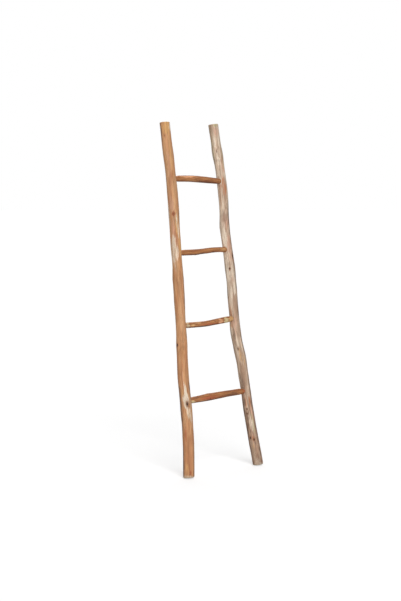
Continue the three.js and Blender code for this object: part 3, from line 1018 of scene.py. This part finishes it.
def add_node(tree, kind, inputs=(), **settings):
    """A shader node with its settings, and its inputs set to values or linked to sockets."""
    node = tree.nodes.new("ShaderNode" + kind)
    for name, value in settings.items():
        setattr(node, name, value)
    for name, value in dict(inputs).items():
        feed(tree, node.inputs[name], value)
    return node


def maths(tree, operation, first, second=0.0, clamp=False):
    node = add_node(tree, "Math", {0: first, 1: second}, operation=operation, use_clamp=clamp)
    return node.outputs[0]


def spread(tree, value, low, high, to_low=0.0, to_high=1.0):
    """A value brought smoothly from one range to another."""
    ranges = {"Value": value, "From Min": low, "From Max": high, "To Min": to_low, "To Max": to_high}
    return add_node(tree, "MapRange", ranges, interpolation_type="SMOOTHSTEP").outputs[0]


def mixed(tree, factor, first, second, blend_type="MIX"):
    node = add_node(tree, "Mix", {0: factor, 6: first, 7: second}, data_type="RGBA", blend_type=blend_type)
    return node.outputs[2]


def darkened(tree, colour, mask, low, high):
    """A colour times a level that a mask moves from one value to another."""
    return mixed(tree, 1.0, colour, spread(tree, mask, 0.0, 1.0, low, high), "MULTIPLY")


def attribute_parts(tree, name):
    vector = add_node(tree, "Attribute", attribute_name=name).outputs["Vector"]
    return add_node(tree, "SeparateXYZ", {0: vector}).outputs


def stretched(tree, grain, width, length, shift=0.0):
    """Grain places divided by a width across the fibres and by a length along them."""
    parts = add_node(tree, "SeparateXYZ", {0: grain})
    across = [maths(tree, "DIVIDE", parts.outputs[axis], width) for axis in (0, 1)]
    along = maths(tree, "DIVIDE", parts.outputs[2], length)
    shifted = maths(tree, "ADD", along, shift)
    return add_node(tree, "CombineXYZ", {0: across[0], 1: across[1], 2: shifted}).outputs[0]


def noise(tree, vector, detail, roughness):
    inputs = {"Vector": vector, "Scale": 1.0, "Detail": detail, "Roughness": roughness}
    return add_node(tree, "TexNoise", inputs).outputs[0]


def either_way(tree, value, reach):
    """A value from 0 to 1 brought to between minus a reach and the reach."""
    return spread(tree, value, 0.0, 1.0, -reach, reach)


def partly(tree, colour, other, mask, strength):
    """A colour turned towards another where a mask lies, by a strength."""
    return mixed(tree, maths(tree, "MULTIPLY", mask, strength), colour, other)


def shader_group(name, inputs, outputs):
    """An empty node group with sockets named in two tables, and the sockets of its end nodes."""
    group = bpy.data.node_groups.new(name, "ShaderNodeTree")
    for in_out, sockets in (("INPUT", inputs), ("OUTPUT", outputs)):
        for socket_name, kind in sockets.items():
            group.interface.new_socket(name=socket_name, in_out=in_out, socket_type="NodeSocket" + kind)
    return group, group.nodes.new("NodeGroupInput").outputs, group.nodes.new("NodeGroupOutput").inputs


def use_group(tree, group, inputs):
    node = tree.nodes.new("ShaderNodeGroup")
    node.node_tree = group
    for name, value in inputs.items():
        feed(tree, node.inputs[name], value)
    return node.outputs


# Shader groups

# A noise is given as its detail and roughness, a cell as its width across the grain and its length
# along it, and an edge as where it starts and ends.
streak_noise = (4.0, 0.6)
thread_noise = (3.0, 0.7)
fibre_edge = (0.32, 0.68)
thread_width_share = 0.18
thread_length_share = 0.45
soft_noise = (2.0, 0.5)
ring_drift_cell = (20 * mm, 160 * mm)
ring_wobble_cell = (6 * mm, 50 * mm)
ring_wobble = 1.4
late_wood_rise = (0.05, 0.8)
late_wood_fall = (0.84, 1.0)
faintest_ring = 0.35
line_noise = (3.0, 0.5)
line_level = 0.5
line_core_share = 0.25
line_patch_cell = (14 * mm, 70 * mm)
line_patch_noise = (1.0, 0.5)
line_patch_width = 0.08
fleck_noise = (2.0, 0.6)
fleck_width = 0.05
rarest_level = 0.82
line_amount_reach = 0.35
fleck_amount_reach = 0.25
knot_raggedness = 0.14
knot_heart_edge = (0.6, 0.95)
knot_rim_edge = (1.0, 1.4)
knot_halo_edge = (1.1, 2.6)
knot_ring_rate = 21.0
overlay_streak_reach = 0.34
overlay_thread_reach = 0.12
overlay_full_mask = 0.4
overlay_edge = (0.05, 0.85)
overlay_cover = 0.94


def drawn_out(group, given):
    """The grain at the width, length and shift that a group is given."""
    return stretched(group, given["Grain"], given["Width"], given["Length"], given["Shift"])


def starting_level(group, amount, reach):
    """The level of noise that lines or flecks start from: the greater their amount, the lower it is."""
    return maths(group, "SUBTRACT", rarest_level, maths(group, "MULTIPLY", amount, reach))


def fibre_group():
    """Long fibres: broad streaks, and fine threads within them."""
    group, given, made = shader_group(
        "wood_fibres",
        {"Grain": "Vector", "Width": "Float", "Length": "Float", "Shift": "Float"},
        {"Streaks": "Float", "Threads": "Float"},
    )
    streaks = noise(group, drawn_out(group, given), *streak_noise)
    feed(group, made["Streaks"], spread(group, streaks, *fibre_edge))
    thin = maths(group, "MULTIPLY", given["Width"], thread_width_share)
    short = maths(group, "MULTIPLY", given["Length"], thread_length_share)
    threads = noise(group, stretched(group, given["Grain"], thin, short, given["Shift"]), *thread_noise)
    feed(group, made["Threads"], spread(group, threads, *fibre_edge))
    return group


def growth_ring_group():
    """Growth rings round the pith, which show as long flames on the skin and as rings on cut ends."""
    group, given, made = shader_group(
        "growth_rings",
        {"Grain": "Vector", "Spacing": "Float", "Wander": "Float", "Shift": "Float"},
        {"Rings": "Float"},
    )
    parts = add_node(group, "SeparateXYZ", {0: given["Grain"]})
    flat = add_node(group, "CombineXYZ", {0: parts.outputs[0], 1: parts.outputs[1]})
    radius = add_node(group, "VectorMath", {0: flat.outputs[0]}, operation="LENGTH").outputs["Value"]
    wander = noise(group, stretched(group, given["Grain"], *ring_drift_cell, given["Shift"]), *soft_noise)
    drift = maths(group, "MULTIPLY", wander, given["Wander"])
    wobble = noise(group, stretched(group, given["Grain"], *ring_wobble_cell), *soft_noise)
    wobble = maths(group, "MULTIPLY", wobble, ring_wobble)
    count = maths(group, "DIVIDE", radius, given["Spacing"])
    count = maths(group, "ADD", count, maths(group, "ADD", drift, wobble))
    phase = maths(group, "FRACT", count)
    rise = spread(group, phase, *late_wood_rise)
    fall = spread(group, phase, *late_wood_fall, 1.0, 0.0)
    years = maths(group, "FLOOR", count)
    yearly = add_node(group, "TexWhiteNoise", {"W": years}, noise_dimensions="1D").outputs[0]
    strength = spread(group, yearly, 0.0, 1.0, faintest_ring, 1.0)
    feed(group, made["Rings"], maths(group, "MULTIPLY", maths(group, "MULTIPLY", rise, fall), strength))
    return group


def thin_line_group():
    """Narrow lines along the grain: dark grain lines, or drying cracks where they are fewer."""
    group, given, made = shader_group(
        "thin_lines",
        {
            "Grain": "Vector", "Width": "Float", "Length": "Float", "Thickness": "Float",
            "Amount": "Float", "Shift": "Float",
        },
        {"Lines": "Float"},
    )
    level = noise(group, drawn_out(group, given), *line_noise)
    from_line = maths(group, "ABSOLUTE", maths(group, "SUBTRACT", level, line_level))
    core = maths(group, "MULTIPLY", given["Thickness"], line_core_share)
    line = spread(group, from_line, core, given["Thickness"], 1.0, 0.0)
    patches = stretched(group, given["Grain"], *line_patch_cell, given["Shift"])
    patches = noise(group, patches, *line_patch_noise)
    least = starting_level(group, given["Amount"], line_amount_reach)
    most = maths(group, "ADD", least, line_patch_width)
    feed(group, made["Lines"], maths(group, "MULTIPLY", line, spread(group, patches, least, most)))
    return group


def fleck_group():
    """Short dark dashes drawn out along the grain: flecks of inner bark, or fine pores."""
    group, given, made = shader_group(
        "short_flecks",
        {"Grain": "Vector", "Width": "Float", "Length": "Float", "Amount": "Float", "Shift": "Float"},
        {"Flecks": "Float"},
    )
    spots = noise(group, drawn_out(group, given), *fleck_noise)
    least = starting_level(group, given["Amount"], fleck_amount_reach)
    most = maths(group, "ADD", least, fleck_width)
    feed(group, made["Flecks"], spread(group, spots, least, most))
    return group


def knot_group():
    """A knot's dark heart with its own rings, the rim round it and the shaded grain beside it."""
    group, given, made = shader_group(
        "knot_wood",
        {"Distance": "Float", "Darkness": "Float", "Threads": "Float"},
        {"Heart": "Float", "Rings": "Float", "Rim": "Float", "Halo": "Float"},
    )
    ragged = either_way(group, given["Threads"], knot_raggedness)
    distance = maths(group, "ADD", given["Distance"], ragged)
    heart = spread(group, distance, *knot_heart_edge, 1.0, 0.0)
    waves_out = maths(group, "SINE", maths(group, "MULTIPLY", distance, knot_ring_rate))
    outer = spread(group, distance, *knot_rim_edge, 1.0, 0.0)
    rim = maths(group, "SUBTRACT", outer, heart, clamp=True)
    halo = spread(group, distance, *knot_halo_edge, 1.0, 0.0)
    feed(group, made["Rings"], spread(group, waves_out, -1.0, 1.0))
    for name, value in (("Heart", heart), ("Rim", rim), ("Halo", halo)):
        feed(group, made[name], maths(group, "MULTIPLY", value, given["Darkness"]))
    return group


def saw_mark_group():
    """Fine parallel ridges that a saw leaves across a cut end."""
    group, given, made = shader_group(
        "saw_marks",
        {"Grain": "Vector", "Pitch": "Float", "Reach": "Float"},
        {"Ridges": "Float"},
    )
    parts = add_node(group, "SeparateXYZ", {0: given["Grain"]})
    over = maths(group, "DIVIDE", parts.outputs[0], given["Pitch"])
    along = maths(group, "DIVIDE", parts.outputs[1], given["Reach"])
    place = add_node(group, "CombineXYZ", {0: over, 1: along})
    feed(group, made["Ridges"], noise(group, place.outputs[0], *soft_noise))
    return group


def overlay_group():
    """One wood colour laid over another through a mask, with its edge broken up along the fibres."""
    group, given, made = shader_group(
        "laid_over",
        {"Under": "Color", "Over": "Color", "Mask": "Float", "Streaks": "Float", "Threads": "Float"},
        {"Color": "Color"},
    )
    along = either_way(group, given["Streaks"], overlay_streak_reach)
    finely = either_way(group, given["Threads"], overlay_thread_reach)
    inside = spread(group, given["Mask"], 0.0, overlay_full_mask)
    broken = maths(group, "MULTIPLY", maths(group, "ADD", along, finely), inside)
    raised = maths(group, "ADD", given["Mask"], broken)
    factor = maths(group, "MULTIPLY", spread(group, raised, *overlay_edge), overlay_cover)
    feed(group, made["Color"], mixed(group, factor, given["Under"], given["Over"]))
    return group


fibres = fibre_group()
growth_rings = growth_ring_group()
thin_lines = thin_line_group()
short_flecks = fleck_group()
knot_wood = knot_group()
saw_marks = saw_mark_group()
laid_over = overlay_group()


# Materials

overlay_order = ("pink", "golden", "green", "pale", "red", "dark")

# The sizes that every wood here gives its shader groups
fibre_size = {"Width": 3.5 * mm, "Length": 160 * mm}
grain_line_size = {"Width": 4.5 * mm, "Length": 220 * mm, "Thickness": 0.035, "Amount": 1.2}
drying_crack_size = {"Width": 6 * mm, "Length": 100 * mm, "Thickness": 0.014, "Amount": 0.5}
bark_fleck_size = {"Width": 1.8 * mm, "Length": 9 * mm, "Amount": 0.75}
pore_size = {"Width": 0.35 * mm, "Length": 6 * mm, "Amount": 0.9}
saw_mark_size = {"Pitch": 1.1 * mm, "Reach": 30 * mm}
ring_wander = 3.0
grain_line_shift = 2.0

# Drifting tones, and how far the tone written on the skin moves them
tone_cell = (14 * mm, 120 * mm)
tone_noise = (3.0, 0.6)
tone_shift = 4.0
tone_reach = 0.14
light_tone_edge = (0.48, 0.66)
dark_tone_edge = (0.34, 0.52)

# The levels that a detail brings the colour to where it is absent and where it is full
streak_darkening = 0.17
streak_lightening = 0.09
thread_levels = (0.92, 1.05)
ring_levels = (1.03, 0.9)
pore_levels = (1.0, 0.8)
cut_streak_levels = (0.92, 1.04)
cut_thread_levels = (0.93, 1.04)

# How strongly a detail's own colour shows
grain_line_strength = 0.42
knot_halo_strength = 0.28
knot_rim_strength = 0.85
knot_ring_strength = 0.22
fleck_strengths = (0.25, 0.6)
fleck_pale_edge = (0.1, 0.6)
drying_crack_strength = 0.75
cut_ring_strength = 0.7
cut_crack_strength = 0.8
scuff_thread_edge = (0.2, 0.8)
scuff_strengths = (0.35, 0.85)

# Gloss and fine relief. What stands up is above zero, and what lies low is below it.
wood_roughness = (0.78, 0.6)
cut_roughness = 0.15
wood_specular = 0.3
wood_bump_strength = 0.7
wood_bump_height = 0.4 * mm
saw_mark_height = 0.6
detail_heights = {
    "threads": 0.4, "streaks": 0.45, "flecks": 0.5, "rings": -0.25, "lines": -0.3, "pores": -0.5,
    "cracks": -1.5, "heart": -0.8,
}

# The screws' zinc plating
zinc_blotch_scale = 900.0
zinc_blotch_detail = 3.0
zinc_grain_scale = 4000.0
zinc_grain_detail = 2.0
zinc_colour_edge = (0.35, 0.7)
zinc_roughness_edge = (0.3, 0.7)
zinc_roughness = (0.28, 0.48)
zinc_bump_strength = 0.4
zinc_bump_height = 0.05 * mm


def new_material(name):
    material = bpy.data.materials.new(name)
    material.use_nodes = True
    material.node_tree.nodes.clear()
    return material, material.node_tree


def finish_material(tree, inputs):
    shader = add_node(tree, "BsdfPrincipled", inputs)
    add_node(tree, "OutputMaterial", {"Surface": shader.outputs[0]})


def wood_details(tree, shift, ring_spacing):
    """What the shader groups make of one wood's grain, by name."""
    grain = add_node(tree, "Attribute", attribute_name="grain").outputs["Vector"]
    knot_distance, knot_darkness = attribute_parts(tree, "knots")[:2]
    placed = {"Grain": grain, "Shift": shift}
    beside = {"Grain": grain, "Shift": shift + grain_line_shift}
    ring_size = {"Spacing": ring_spacing, "Wander": ring_wander}
    fibre = use_group(tree, fibres, placed | fibre_size)
    knot = use_group(tree, knot_wood, {
        "Distance": knot_distance, "Darkness": knot_darkness, "Threads": fibre["Threads"],
    })
    tones = stretched(tree, grain, *tone_cell, shift + tone_shift)
    return {
        "streaks": fibre["Streaks"], "threads": fibre["Threads"],
        "tones": noise(tree, tones, *tone_noise),
        "rings": use_group(tree, growth_rings, placed | ring_size)["Rings"],
        "lines": use_group(tree, thin_lines, beside | grain_line_size)["Lines"],
        "cracks": use_group(tree, thin_lines, placed | drying_crack_size)["Lines"],
        "flecks": use_group(tree, short_flecks, placed | bark_fleck_size)["Flecks"],
        "pores": use_group(tree, short_flecks, placed | pore_size)["Flecks"],
        "saw_marks": use_group(tree, saw_marks, {"Grain": grain} | saw_mark_size)["Ridges"],
        "heart": knot["Heart"], "knot_rings": knot["Rings"], "rim": knot["Rim"], "halo": knot["Halo"],
    }


def skin_colour(tree, detail, masks, tone, tones, mark_colours, knot_colours, contrast):
    """The peeled skin: drifting tones, and over them marks, fibres, rings, lines, knots and cracks."""
    dark, middle, light = tones
    heart, rim = knot_colours
    drift = maths(tree, "ADD", detail["tones"], maths(tree, "MULTIPLY", tone, tone_reach))
    colour = mixed(tree, spread(tree, drift, *light_tone_edge), middle, light)
    colour = mixed(tree, spread(tree, drift, *dark_tone_edge, 1.0, 0.0), colour, dark)
    # The dark overlay lays dark stains and also painted shade along the rails' edges and the rungs'
    # undersides.
    for kind in overlay_order:
        colour = use_group(tree, laid_over, {
            "Under": colour, "Over": mark_colours[kind], "Mask": masks[kind],
            "Streaks": detail["streaks"], "Threads": detail["threads"],
        })["Color"]
    streak_levels = (1 - streak_darkening * contrast, 1 + streak_lightening * contrast)
    colour = darkened(tree, colour, detail["streaks"], *streak_levels)
    colour = darkened(tree, colour, detail["threads"], *thread_levels)
    colour = darkened(tree, colour, detail["rings"], *ring_levels)
    colour = partly(tree, colour, rim, detail["lines"], grain_line_strength * contrast)
    colour = darkened(tree, colour, detail["pores"], *pore_levels)
    colour = partly(tree, colour, rim, detail["halo"], knot_halo_strength)
    colour = partly(tree, colour, rim, detail["rim"], knot_rim_strength)
    knot_face = partly(tree, heart, rim, detail["knot_rings"], knot_ring_strength)
    colour = mixed(tree, detail["heart"], colour, knot_face)
    fleck_strength = spread(tree, masks["pale"], *fleck_pale_edge, *fleck_strengths)
    colour = partly(tree, colour, rim, detail["flecks"], fleck_strength)
    return partly(tree, colour, heart, detail["cracks"], drying_crack_strength)


def cut_face_colour(tree, detail, cut_colours, crack_colour):
    """Sawn and bored wood, with its growth rings, its fibres and its drying cracks."""
    early, late = cut_colours
    colour = partly(tree, early, late, detail["rings"], cut_ring_strength)
    colour = darkened(tree, colour, detail["streaks"], *cut_streak_levels)
    colour = darkened(tree, colour, detail["threads"], *cut_thread_levels)
    return partly(tree, colour, crack_colour, detail["cracks"], cut_crack_strength)


def fine_relief(tree, detail, cut):
    """The height for a bump, with saw marks on the cut faces only."""
    height = maths(tree, "MULTIPLY", detail["saw_marks"], maths(tree, "MULTIPLY", cut, saw_mark_height))
    for name, level in detail_heights.items():
        height = maths(tree, "ADD", height, maths(tree, "MULTIPLY", detail[name], level))
    return height


def natural_wood(name, tones, mark_colours, cut_colours, knot_colours, scuff, shift, contrast, ring_spacing):
    """Peeled round wood, with its marks and knots, its cut faces and its scuffed sole."""
    material, tree = new_material(name)
    cut, tone, scuffed = attribute_parts(tree, "wood")
    masks = dict(zip(mark_kinds, [*attribute_parts(tree, "marks"), *attribute_parts(tree, "stains_and_painted_shade")]))
    detail = wood_details(tree, shift, ring_spacing)
    skin = skin_colour(tree, detail, masks, tone, tones, mark_colours, knot_colours, contrast)
    colour = mixed(tree, cut, skin, cut_face_colour(tree, detail, cut_colours, knot_colours[0]))
    scuff_patches = spread(tree, detail["threads"], *scuff_thread_edge, *scuff_strengths)
    colour = partly(tree, colour, scuff, scuffed, scuff_patches)
    rough = spread(tree, detail["streaks"], 0.0, 1.0, *wood_roughness)
    rough = maths(tree, "ADD", rough, maths(tree, "MULTIPLY", cut, cut_roughness), clamp=True)
    bump = add_node(tree, "Bump", {
        "Strength": wood_bump_strength, "Distance": wood_bump_height,
        "Height": fine_relief(tree, detail, cut),
    })
    finish_material(tree, {
        "Base Color": colour, "Roughness": rough, "Normal": bump.outputs[0],
        "Specular IOR Level": wood_specular,
    })
    return material


def left_rail_wood():
    """Orange-brown heartwood with pale sapwood where the drawknife left it."""
    return natural_wood(
        "left_rail_wood",
        tones=(linear(188, 130, 89), linear(199, 147, 104), linear(211, 163, 120)),
        mark_colours={
            "pale": linear(237, 222, 198), "golden": linear(212, 163, 104), "red": linear(168, 92, 60),
            # The dark colour serves dark stains and the painted shade along the rail's edges.
            "green": linear(190, 176, 144), "dark": linear(128, 98, 76), "pink": linear(206, 156, 128),
        },
        cut_colours=(linear(222, 188, 146), linear(178, 130, 90)),
        knot_colours=(linear(44, 30, 22), linear(142, 90, 58)),
        scuff=linear(200, 184, 162), shift=0.0, contrast=1.05, ring_spacing=2.1 * mm,
    )


def right_rail_wood():
    """Pale beige sapwood with pink and cream streaks, grey-brown in stains and in painted shade along its
    edges.
    """
    return natural_wood(
        "right_rail_wood",
        tones=(linear(176, 144, 120), linear(208, 181, 156), linear(224, 204, 181)),
        mark_colours={
            "pale": linear(236, 218, 196), "golden": linear(204, 160, 110), "red": linear(182, 116, 78),
            # The dark colour serves grey-brown stains and the painted shade along the rail's edges.
            "green": linear(194, 180, 142), "dark": linear(120, 94, 78), "pink": linear(208, 164, 140),
        },
        cut_colours=(linear(220, 194, 160), linear(176, 140, 106)),
        knot_colours=(linear(58, 38, 28), linear(136, 98, 74)),
        scuff=linear(188, 174, 156), shift=11.0, contrast=1.25, ring_spacing=1.9 * mm,
    )


def rung_wood():
    """Reddish-brown branches, pale where they were whittled."""
    return natural_wood(
        "rung_wood",
        tones=(linear(150, 92, 56), linear(178, 118, 72), linear(192, 134, 86)),
        mark_colours={
            "pale": linear(214, 190, 152), "golden": linear(232, 186, 128), "red": linear(184, 100, 66),
            # The dark colour serves dark stains and the painted shade along the rungs' undersides and edges.
            "green": linear(232, 210, 160), "dark": linear(94, 58, 42), "pink": linear(242, 180, 136),
        },
        cut_colours=(linear(216, 180, 136), linear(182, 130, 90)),
        knot_colours=(linear(60, 36, 26), linear(118, 68, 46)),
        scuff=linear(216, 180, 136), shift=23.0, contrast=1.1, ring_spacing=1.7 * mm,
    )


def screw_steel():
    """Bright zinc plating with a faint grain, duller in patches."""
    material, tree = new_material("screw_steel")
    place = add_node(tree, "TexCoord").outputs["Object"]
    blotches = add_node(tree, "TexNoise", {
        "Vector": place, "Scale": zinc_blotch_scale, "Detail": zinc_blotch_detail,
    }).outputs[0]
    fine = add_node(tree, "TexNoise", {
        "Vector": place, "Scale": zinc_grain_scale, "Detail": zinc_grain_detail,
    }).outputs[0]
    dull = spread(tree, blotches, *zinc_colour_edge)
    colour = mixed(tree, dull, linear(196, 198, 202), linear(170, 168, 160))
    rough = spread(tree, blotches, *zinc_roughness_edge, *zinc_roughness)
    bump = add_node(tree, "Bump", {
        "Strength": zinc_bump_strength, "Distance": zinc_bump_height, "Height": fine,
    })
    finish_material(tree, {
        "Base Color": colour, "Metallic": 1.0, "Roughness": rough, "Normal": bump.outputs[0],
    })
    return material


# The wooden pieces

rung_count = 4
skin_crease = 42

# What each piece's unevenness and unseen marks are drawn from
rail_seeds = {"left_rail": 3, "right_rail": 13}
first_rung_seed = 30
rung_seed_step = 5
mark_seed_step = 40


def finish_wood(piece, pole, material):
    piece.data.materials.clear()
    piece.data.materials.append(material)
    smooth_but_sharp_over(piece, skin_crease)
    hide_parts(pole.node)
    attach(piece, body)


def on_skin(pole, turns, places, height):
    """The ladder's points for angles and places on a pole's skin, raised by a height."""
    radius = pole.skin_radius(turns, places) + height
    angle = 2 * np.pi * turns
    across = np.stack([radius * np.cos(angle), radius * np.sin(angle)], axis=-1)
    across += pole.middle_at(np.ravel(places)).reshape(across.shape)
    return pole.to_ladder(np.concatenate([across, np.asarray(places)[..., None]], axis=-1))


def mortise_rims(pole, rungs, at_start, turns, points):
    """How far the rim of each mortise is rounded down, on the rail's inner side."""
    inwards = pole.axes[:2] @ (rungs[0].end - rungs[0].start) * (1 if at_start else -1)
    inward_turn = math.atan2(inwards[1], inwards[0]) / (2 * math.pi)
    facing = np.cos(2 * np.pi * (turns - inward_turn)) > 0
    lowered = np.zeros(points.shape[:-1])
    for rung in rungs:
        from_rim = distance_from_axis(points, rung) - tenon_diameter / 2 - fit_gap
        lowered += rim_rounding * np.exp(-((np.maximum(from_rim, 0) / rim_reach) ** 2))
    return np.where(facing, lowered, 0)


def make_rail(pole, material, rungs, at_start, screws):
    """A rail's skin with its mortises, countersunk screw holes and drying cracks."""
    seed = rail_seeds[pole.node]
    knots = knots_of(pole, rail_knot_shares[pole.node], unseen_rail_knot_shares[pole.node])
    marks = seen_marks(pole, rail_mark_shares[pole.node])
    marks += unseen_marks(pole, unseen_rail_kinds[pole.node], seed, unseen_rail_marks)
    grooves = [
        (height, pole.picture_turn(across), *[size * mm for size in sizes])
        for height, across, *sizes in rail_groove_shares[pole.node]
    ]
    joints = [pole.to_pole(rung.start if at_start else rung.end)[2] for rung in rungs]
    fine_places = np.array(joints + [knot.place for knot in knots])

    def natural_relief(turns, places):
        relief = rail_unevenness(pole, seed, turns, places) + knot_relief(pole, knots, turns, places)
        return relief + groove_relief(pole, grooves, turns, places)

    def relief(turns, places):
        height = natural_relief(turns, places)
        return height - mortise_rims(pole, rungs, at_start, turns, on_skin(pole, turns, places, height))

    rings = skin_rings(pole, stations(pole, rail_step, fine_places), rail_rounds, relief)
    corners, faces = closed_over(rings)
    rail = new_piece(pole.node + "_skin", pole.to_ladder(corners), faces)
    cracks = [end_crack(pole, *crack, seed + number) for number, crack in enumerate(rail_cracks[pole.node])]
    cut_away(rail, joined_shapes("cracks", cracks))
    cut_away(rail, joined_shapes("mortises", [mortise(rung, at_start) for rung in rungs]))
    cut_away(rail, joined_shapes("screw_holes", [screw_hole(screw) for screw in screws]))
    tones = rail_tone_shares[pole.node]
    describe_skin(rail, pole, knots, marks, tones, natural_relief, seed + mark_seed_step)
    finish_wood(rail, pole, material)


def make_rung(pole, material, screws, seed):
    """A branch rung with whittled shoulders and round tenons, drilled for its two screws."""
    knots = knots_of(pole, rung_knot_shares[pole.node], [])
    marks = seen_marks(pole, rung_mark_shares[pole.node])
    marks += unseen_marks(pole, unseen_rung_kinds, seed, unseen_rung_marks)

    def relief(turns, places):
        natural = rung_unevenness(pole, seed, turns, places)
        return natural + knot_relief(pole, knots, turns, places) * body_share(pole, places)

    places = stations(pole, rung_step, np.array([knot.place for knot in knots]))
    corners, faces = closed_over(skin_rings(pole, places, rung_rounds, relief))
    rung = new_piece(pole.node + "_branch", pole.to_ladder(corners), faces)
    cut_away(rung, joined_shapes("screw_holes", [screw_hole(screw) for screw in screws]))
    describe_skin(rung, pole, knots, marks, rung_tone_shares, relief, seed + mark_seed_step)
    finish_wood(rung, pole, material)


def build_ladder():
    left = measured_rail("left_rail", "left_sole")
    right = measured_rail("right_rail", "right_sole")
    numbers = range(1, rung_count + 1)
    rungs = [measured_rung(f"rung_{number}") for number in numbers]
    left_screws = [f"left_screw_{number}" for number in numbers]
    right_screws = [f"right_screw_{number}" for number in numbers]

    make_rail(left, left_rail_wood(), rungs, True, left_screws)
    make_rail(right, right_rail_wood(), rungs, False, right_screws)
    branch_wood = rung_wood()
    for above, (rung, screws) in enumerate(zip(rungs, zip(left_screws, right_screws))):
        make_rung(rung, branch_wood, screws, first_rung_seed + rung_seed_step * above)
    steel = screw_steel()
    for node in left_screws + right_screws:
        make_screw(node, steel)


# The studio

floor_half_width = 400.0
floor_tone = (0.62, 0.62, 0.62, 1)
floor_glow = 0.5
world_level = 0.27
white = (1, 1, 1, 1)

# Soft suns. Each has its turn from the camera's direction and its height in degrees, the level that
# it gives a surface facing it, and how wide it looks from the ladder, in degrees.
sun_places = {
    "key_sun": (11, 33, 0.74, 26),
    "fill_sun": (-58, 24, 0.06, 50),
    "back_sun": (178, 30, 0.3, 60),
}


def seen_directly(tree):
    """1 for what the camera sees, straight or through gloss or glass, and 0 for light on the object."""
    path = add_node(tree, "LightPath").outputs
    seen = maths(tree, "ADD", path["Is Camera Ray"], path["Is Glossy Ray"])
    return maths(tree, "ADD", seen, path["Is Transmission Ray"], clamp=True)


def make_floor():
    """A pale floor that glows up to the white of the background, and keeps the ladder's shadow."""
    half = floor_half_width
    corners = [(-half, -half, 0), (half, -half, 0), (half, half, 0), (-half, half, 0)]
    floor = new_piece("studio_floor", corners, [[0, 1, 2, 3]])
    material, tree = new_material("studio_floor")
    pale = add_node(tree, "BsdfDiffuse", {"Color": floor_tone})
    glow_level = maths(tree, "MULTIPLY", seen_directly(tree), floor_glow)
    glow = add_node(tree, "Emission", {"Color": white, "Strength": glow_level})
    both = add_node(tree, "AddShader", {0: pale.outputs[0], 1: glow.outputs[0]})
    add_node(tree, "OutputMaterial", {"Surface": both.outputs[0]})
    floor.data.materials.append(material)


def make_world():
    """Even light from all round, with a plain white background."""
    world = bpy.data.worlds.new("studio")
    world.use_nodes = True
    tree = world.node_tree
    tree.nodes.clear()
    level = spread(tree, seen_directly(tree), 0.0, 1.0, world_level, 1.0)
    light = add_node(tree, "Background", {"Color": white, "Strength": level})
    add_node(tree, "OutputWorld", {"Surface": light.outputs[0]})
    bpy.context.scene.world = world


def make_suns():
    """A key a little right of the camera, a weak fill on the left, and one behind for the back."""
    for name, (turn, height, level, width) in sun_places.items():
        sun = bpy.data.lights.new(name, "SUN")
        sun.energy = level * math.pi
        sun.angle = math.radians(width)
        side = Matrix.Rotation(math.radians(turn), 3, "Z") @ Vector(-away_from_camera)
        towards = side * math.cos(math.radians(height)) + Vector((0, 0, math.sin(math.radians(height))))
        holder = bpy.data.objects.new(name, sun)
        holder.rotation_euler = towards.to_track_quat("Z", "Y").to_euler()
        bpy.context.scene.collection.objects.link(holder)


def make_camera():
    """The photograph's view."""
    pitch = math.radians(camera_pitch)
    place = foot_middle - away_from_camera * camera_distance + picture_right * camera_aside
    place = place + np.array([0, 0, camera_height])
    looking = away_from_camera * math.cos(pitch) - np.array([0, 0, math.sin(pitch)])
    camera = bpy.data.cameras.new("photograph")
    camera.sensor_width = camera_sensor
    camera.lens = picture_focal_length / picture_height * camera_sensor
    camera.clip_end = camera_reach
    holder = bpy.data.objects.new("photograph", camera)
    holder.location = tuple(place)
    holder.rotation_euler = Vector(looking).to_track_quat("-Z", "Y").to_euler()
    bpy.context.scene.collection.objects.link(holder)
    bpy.context.scene.camera = holder


make_camera()
build_ladder()
make_floor()
make_world()
make_suns()
bpy.context.scene.view_settings.view_transform = "Standard"
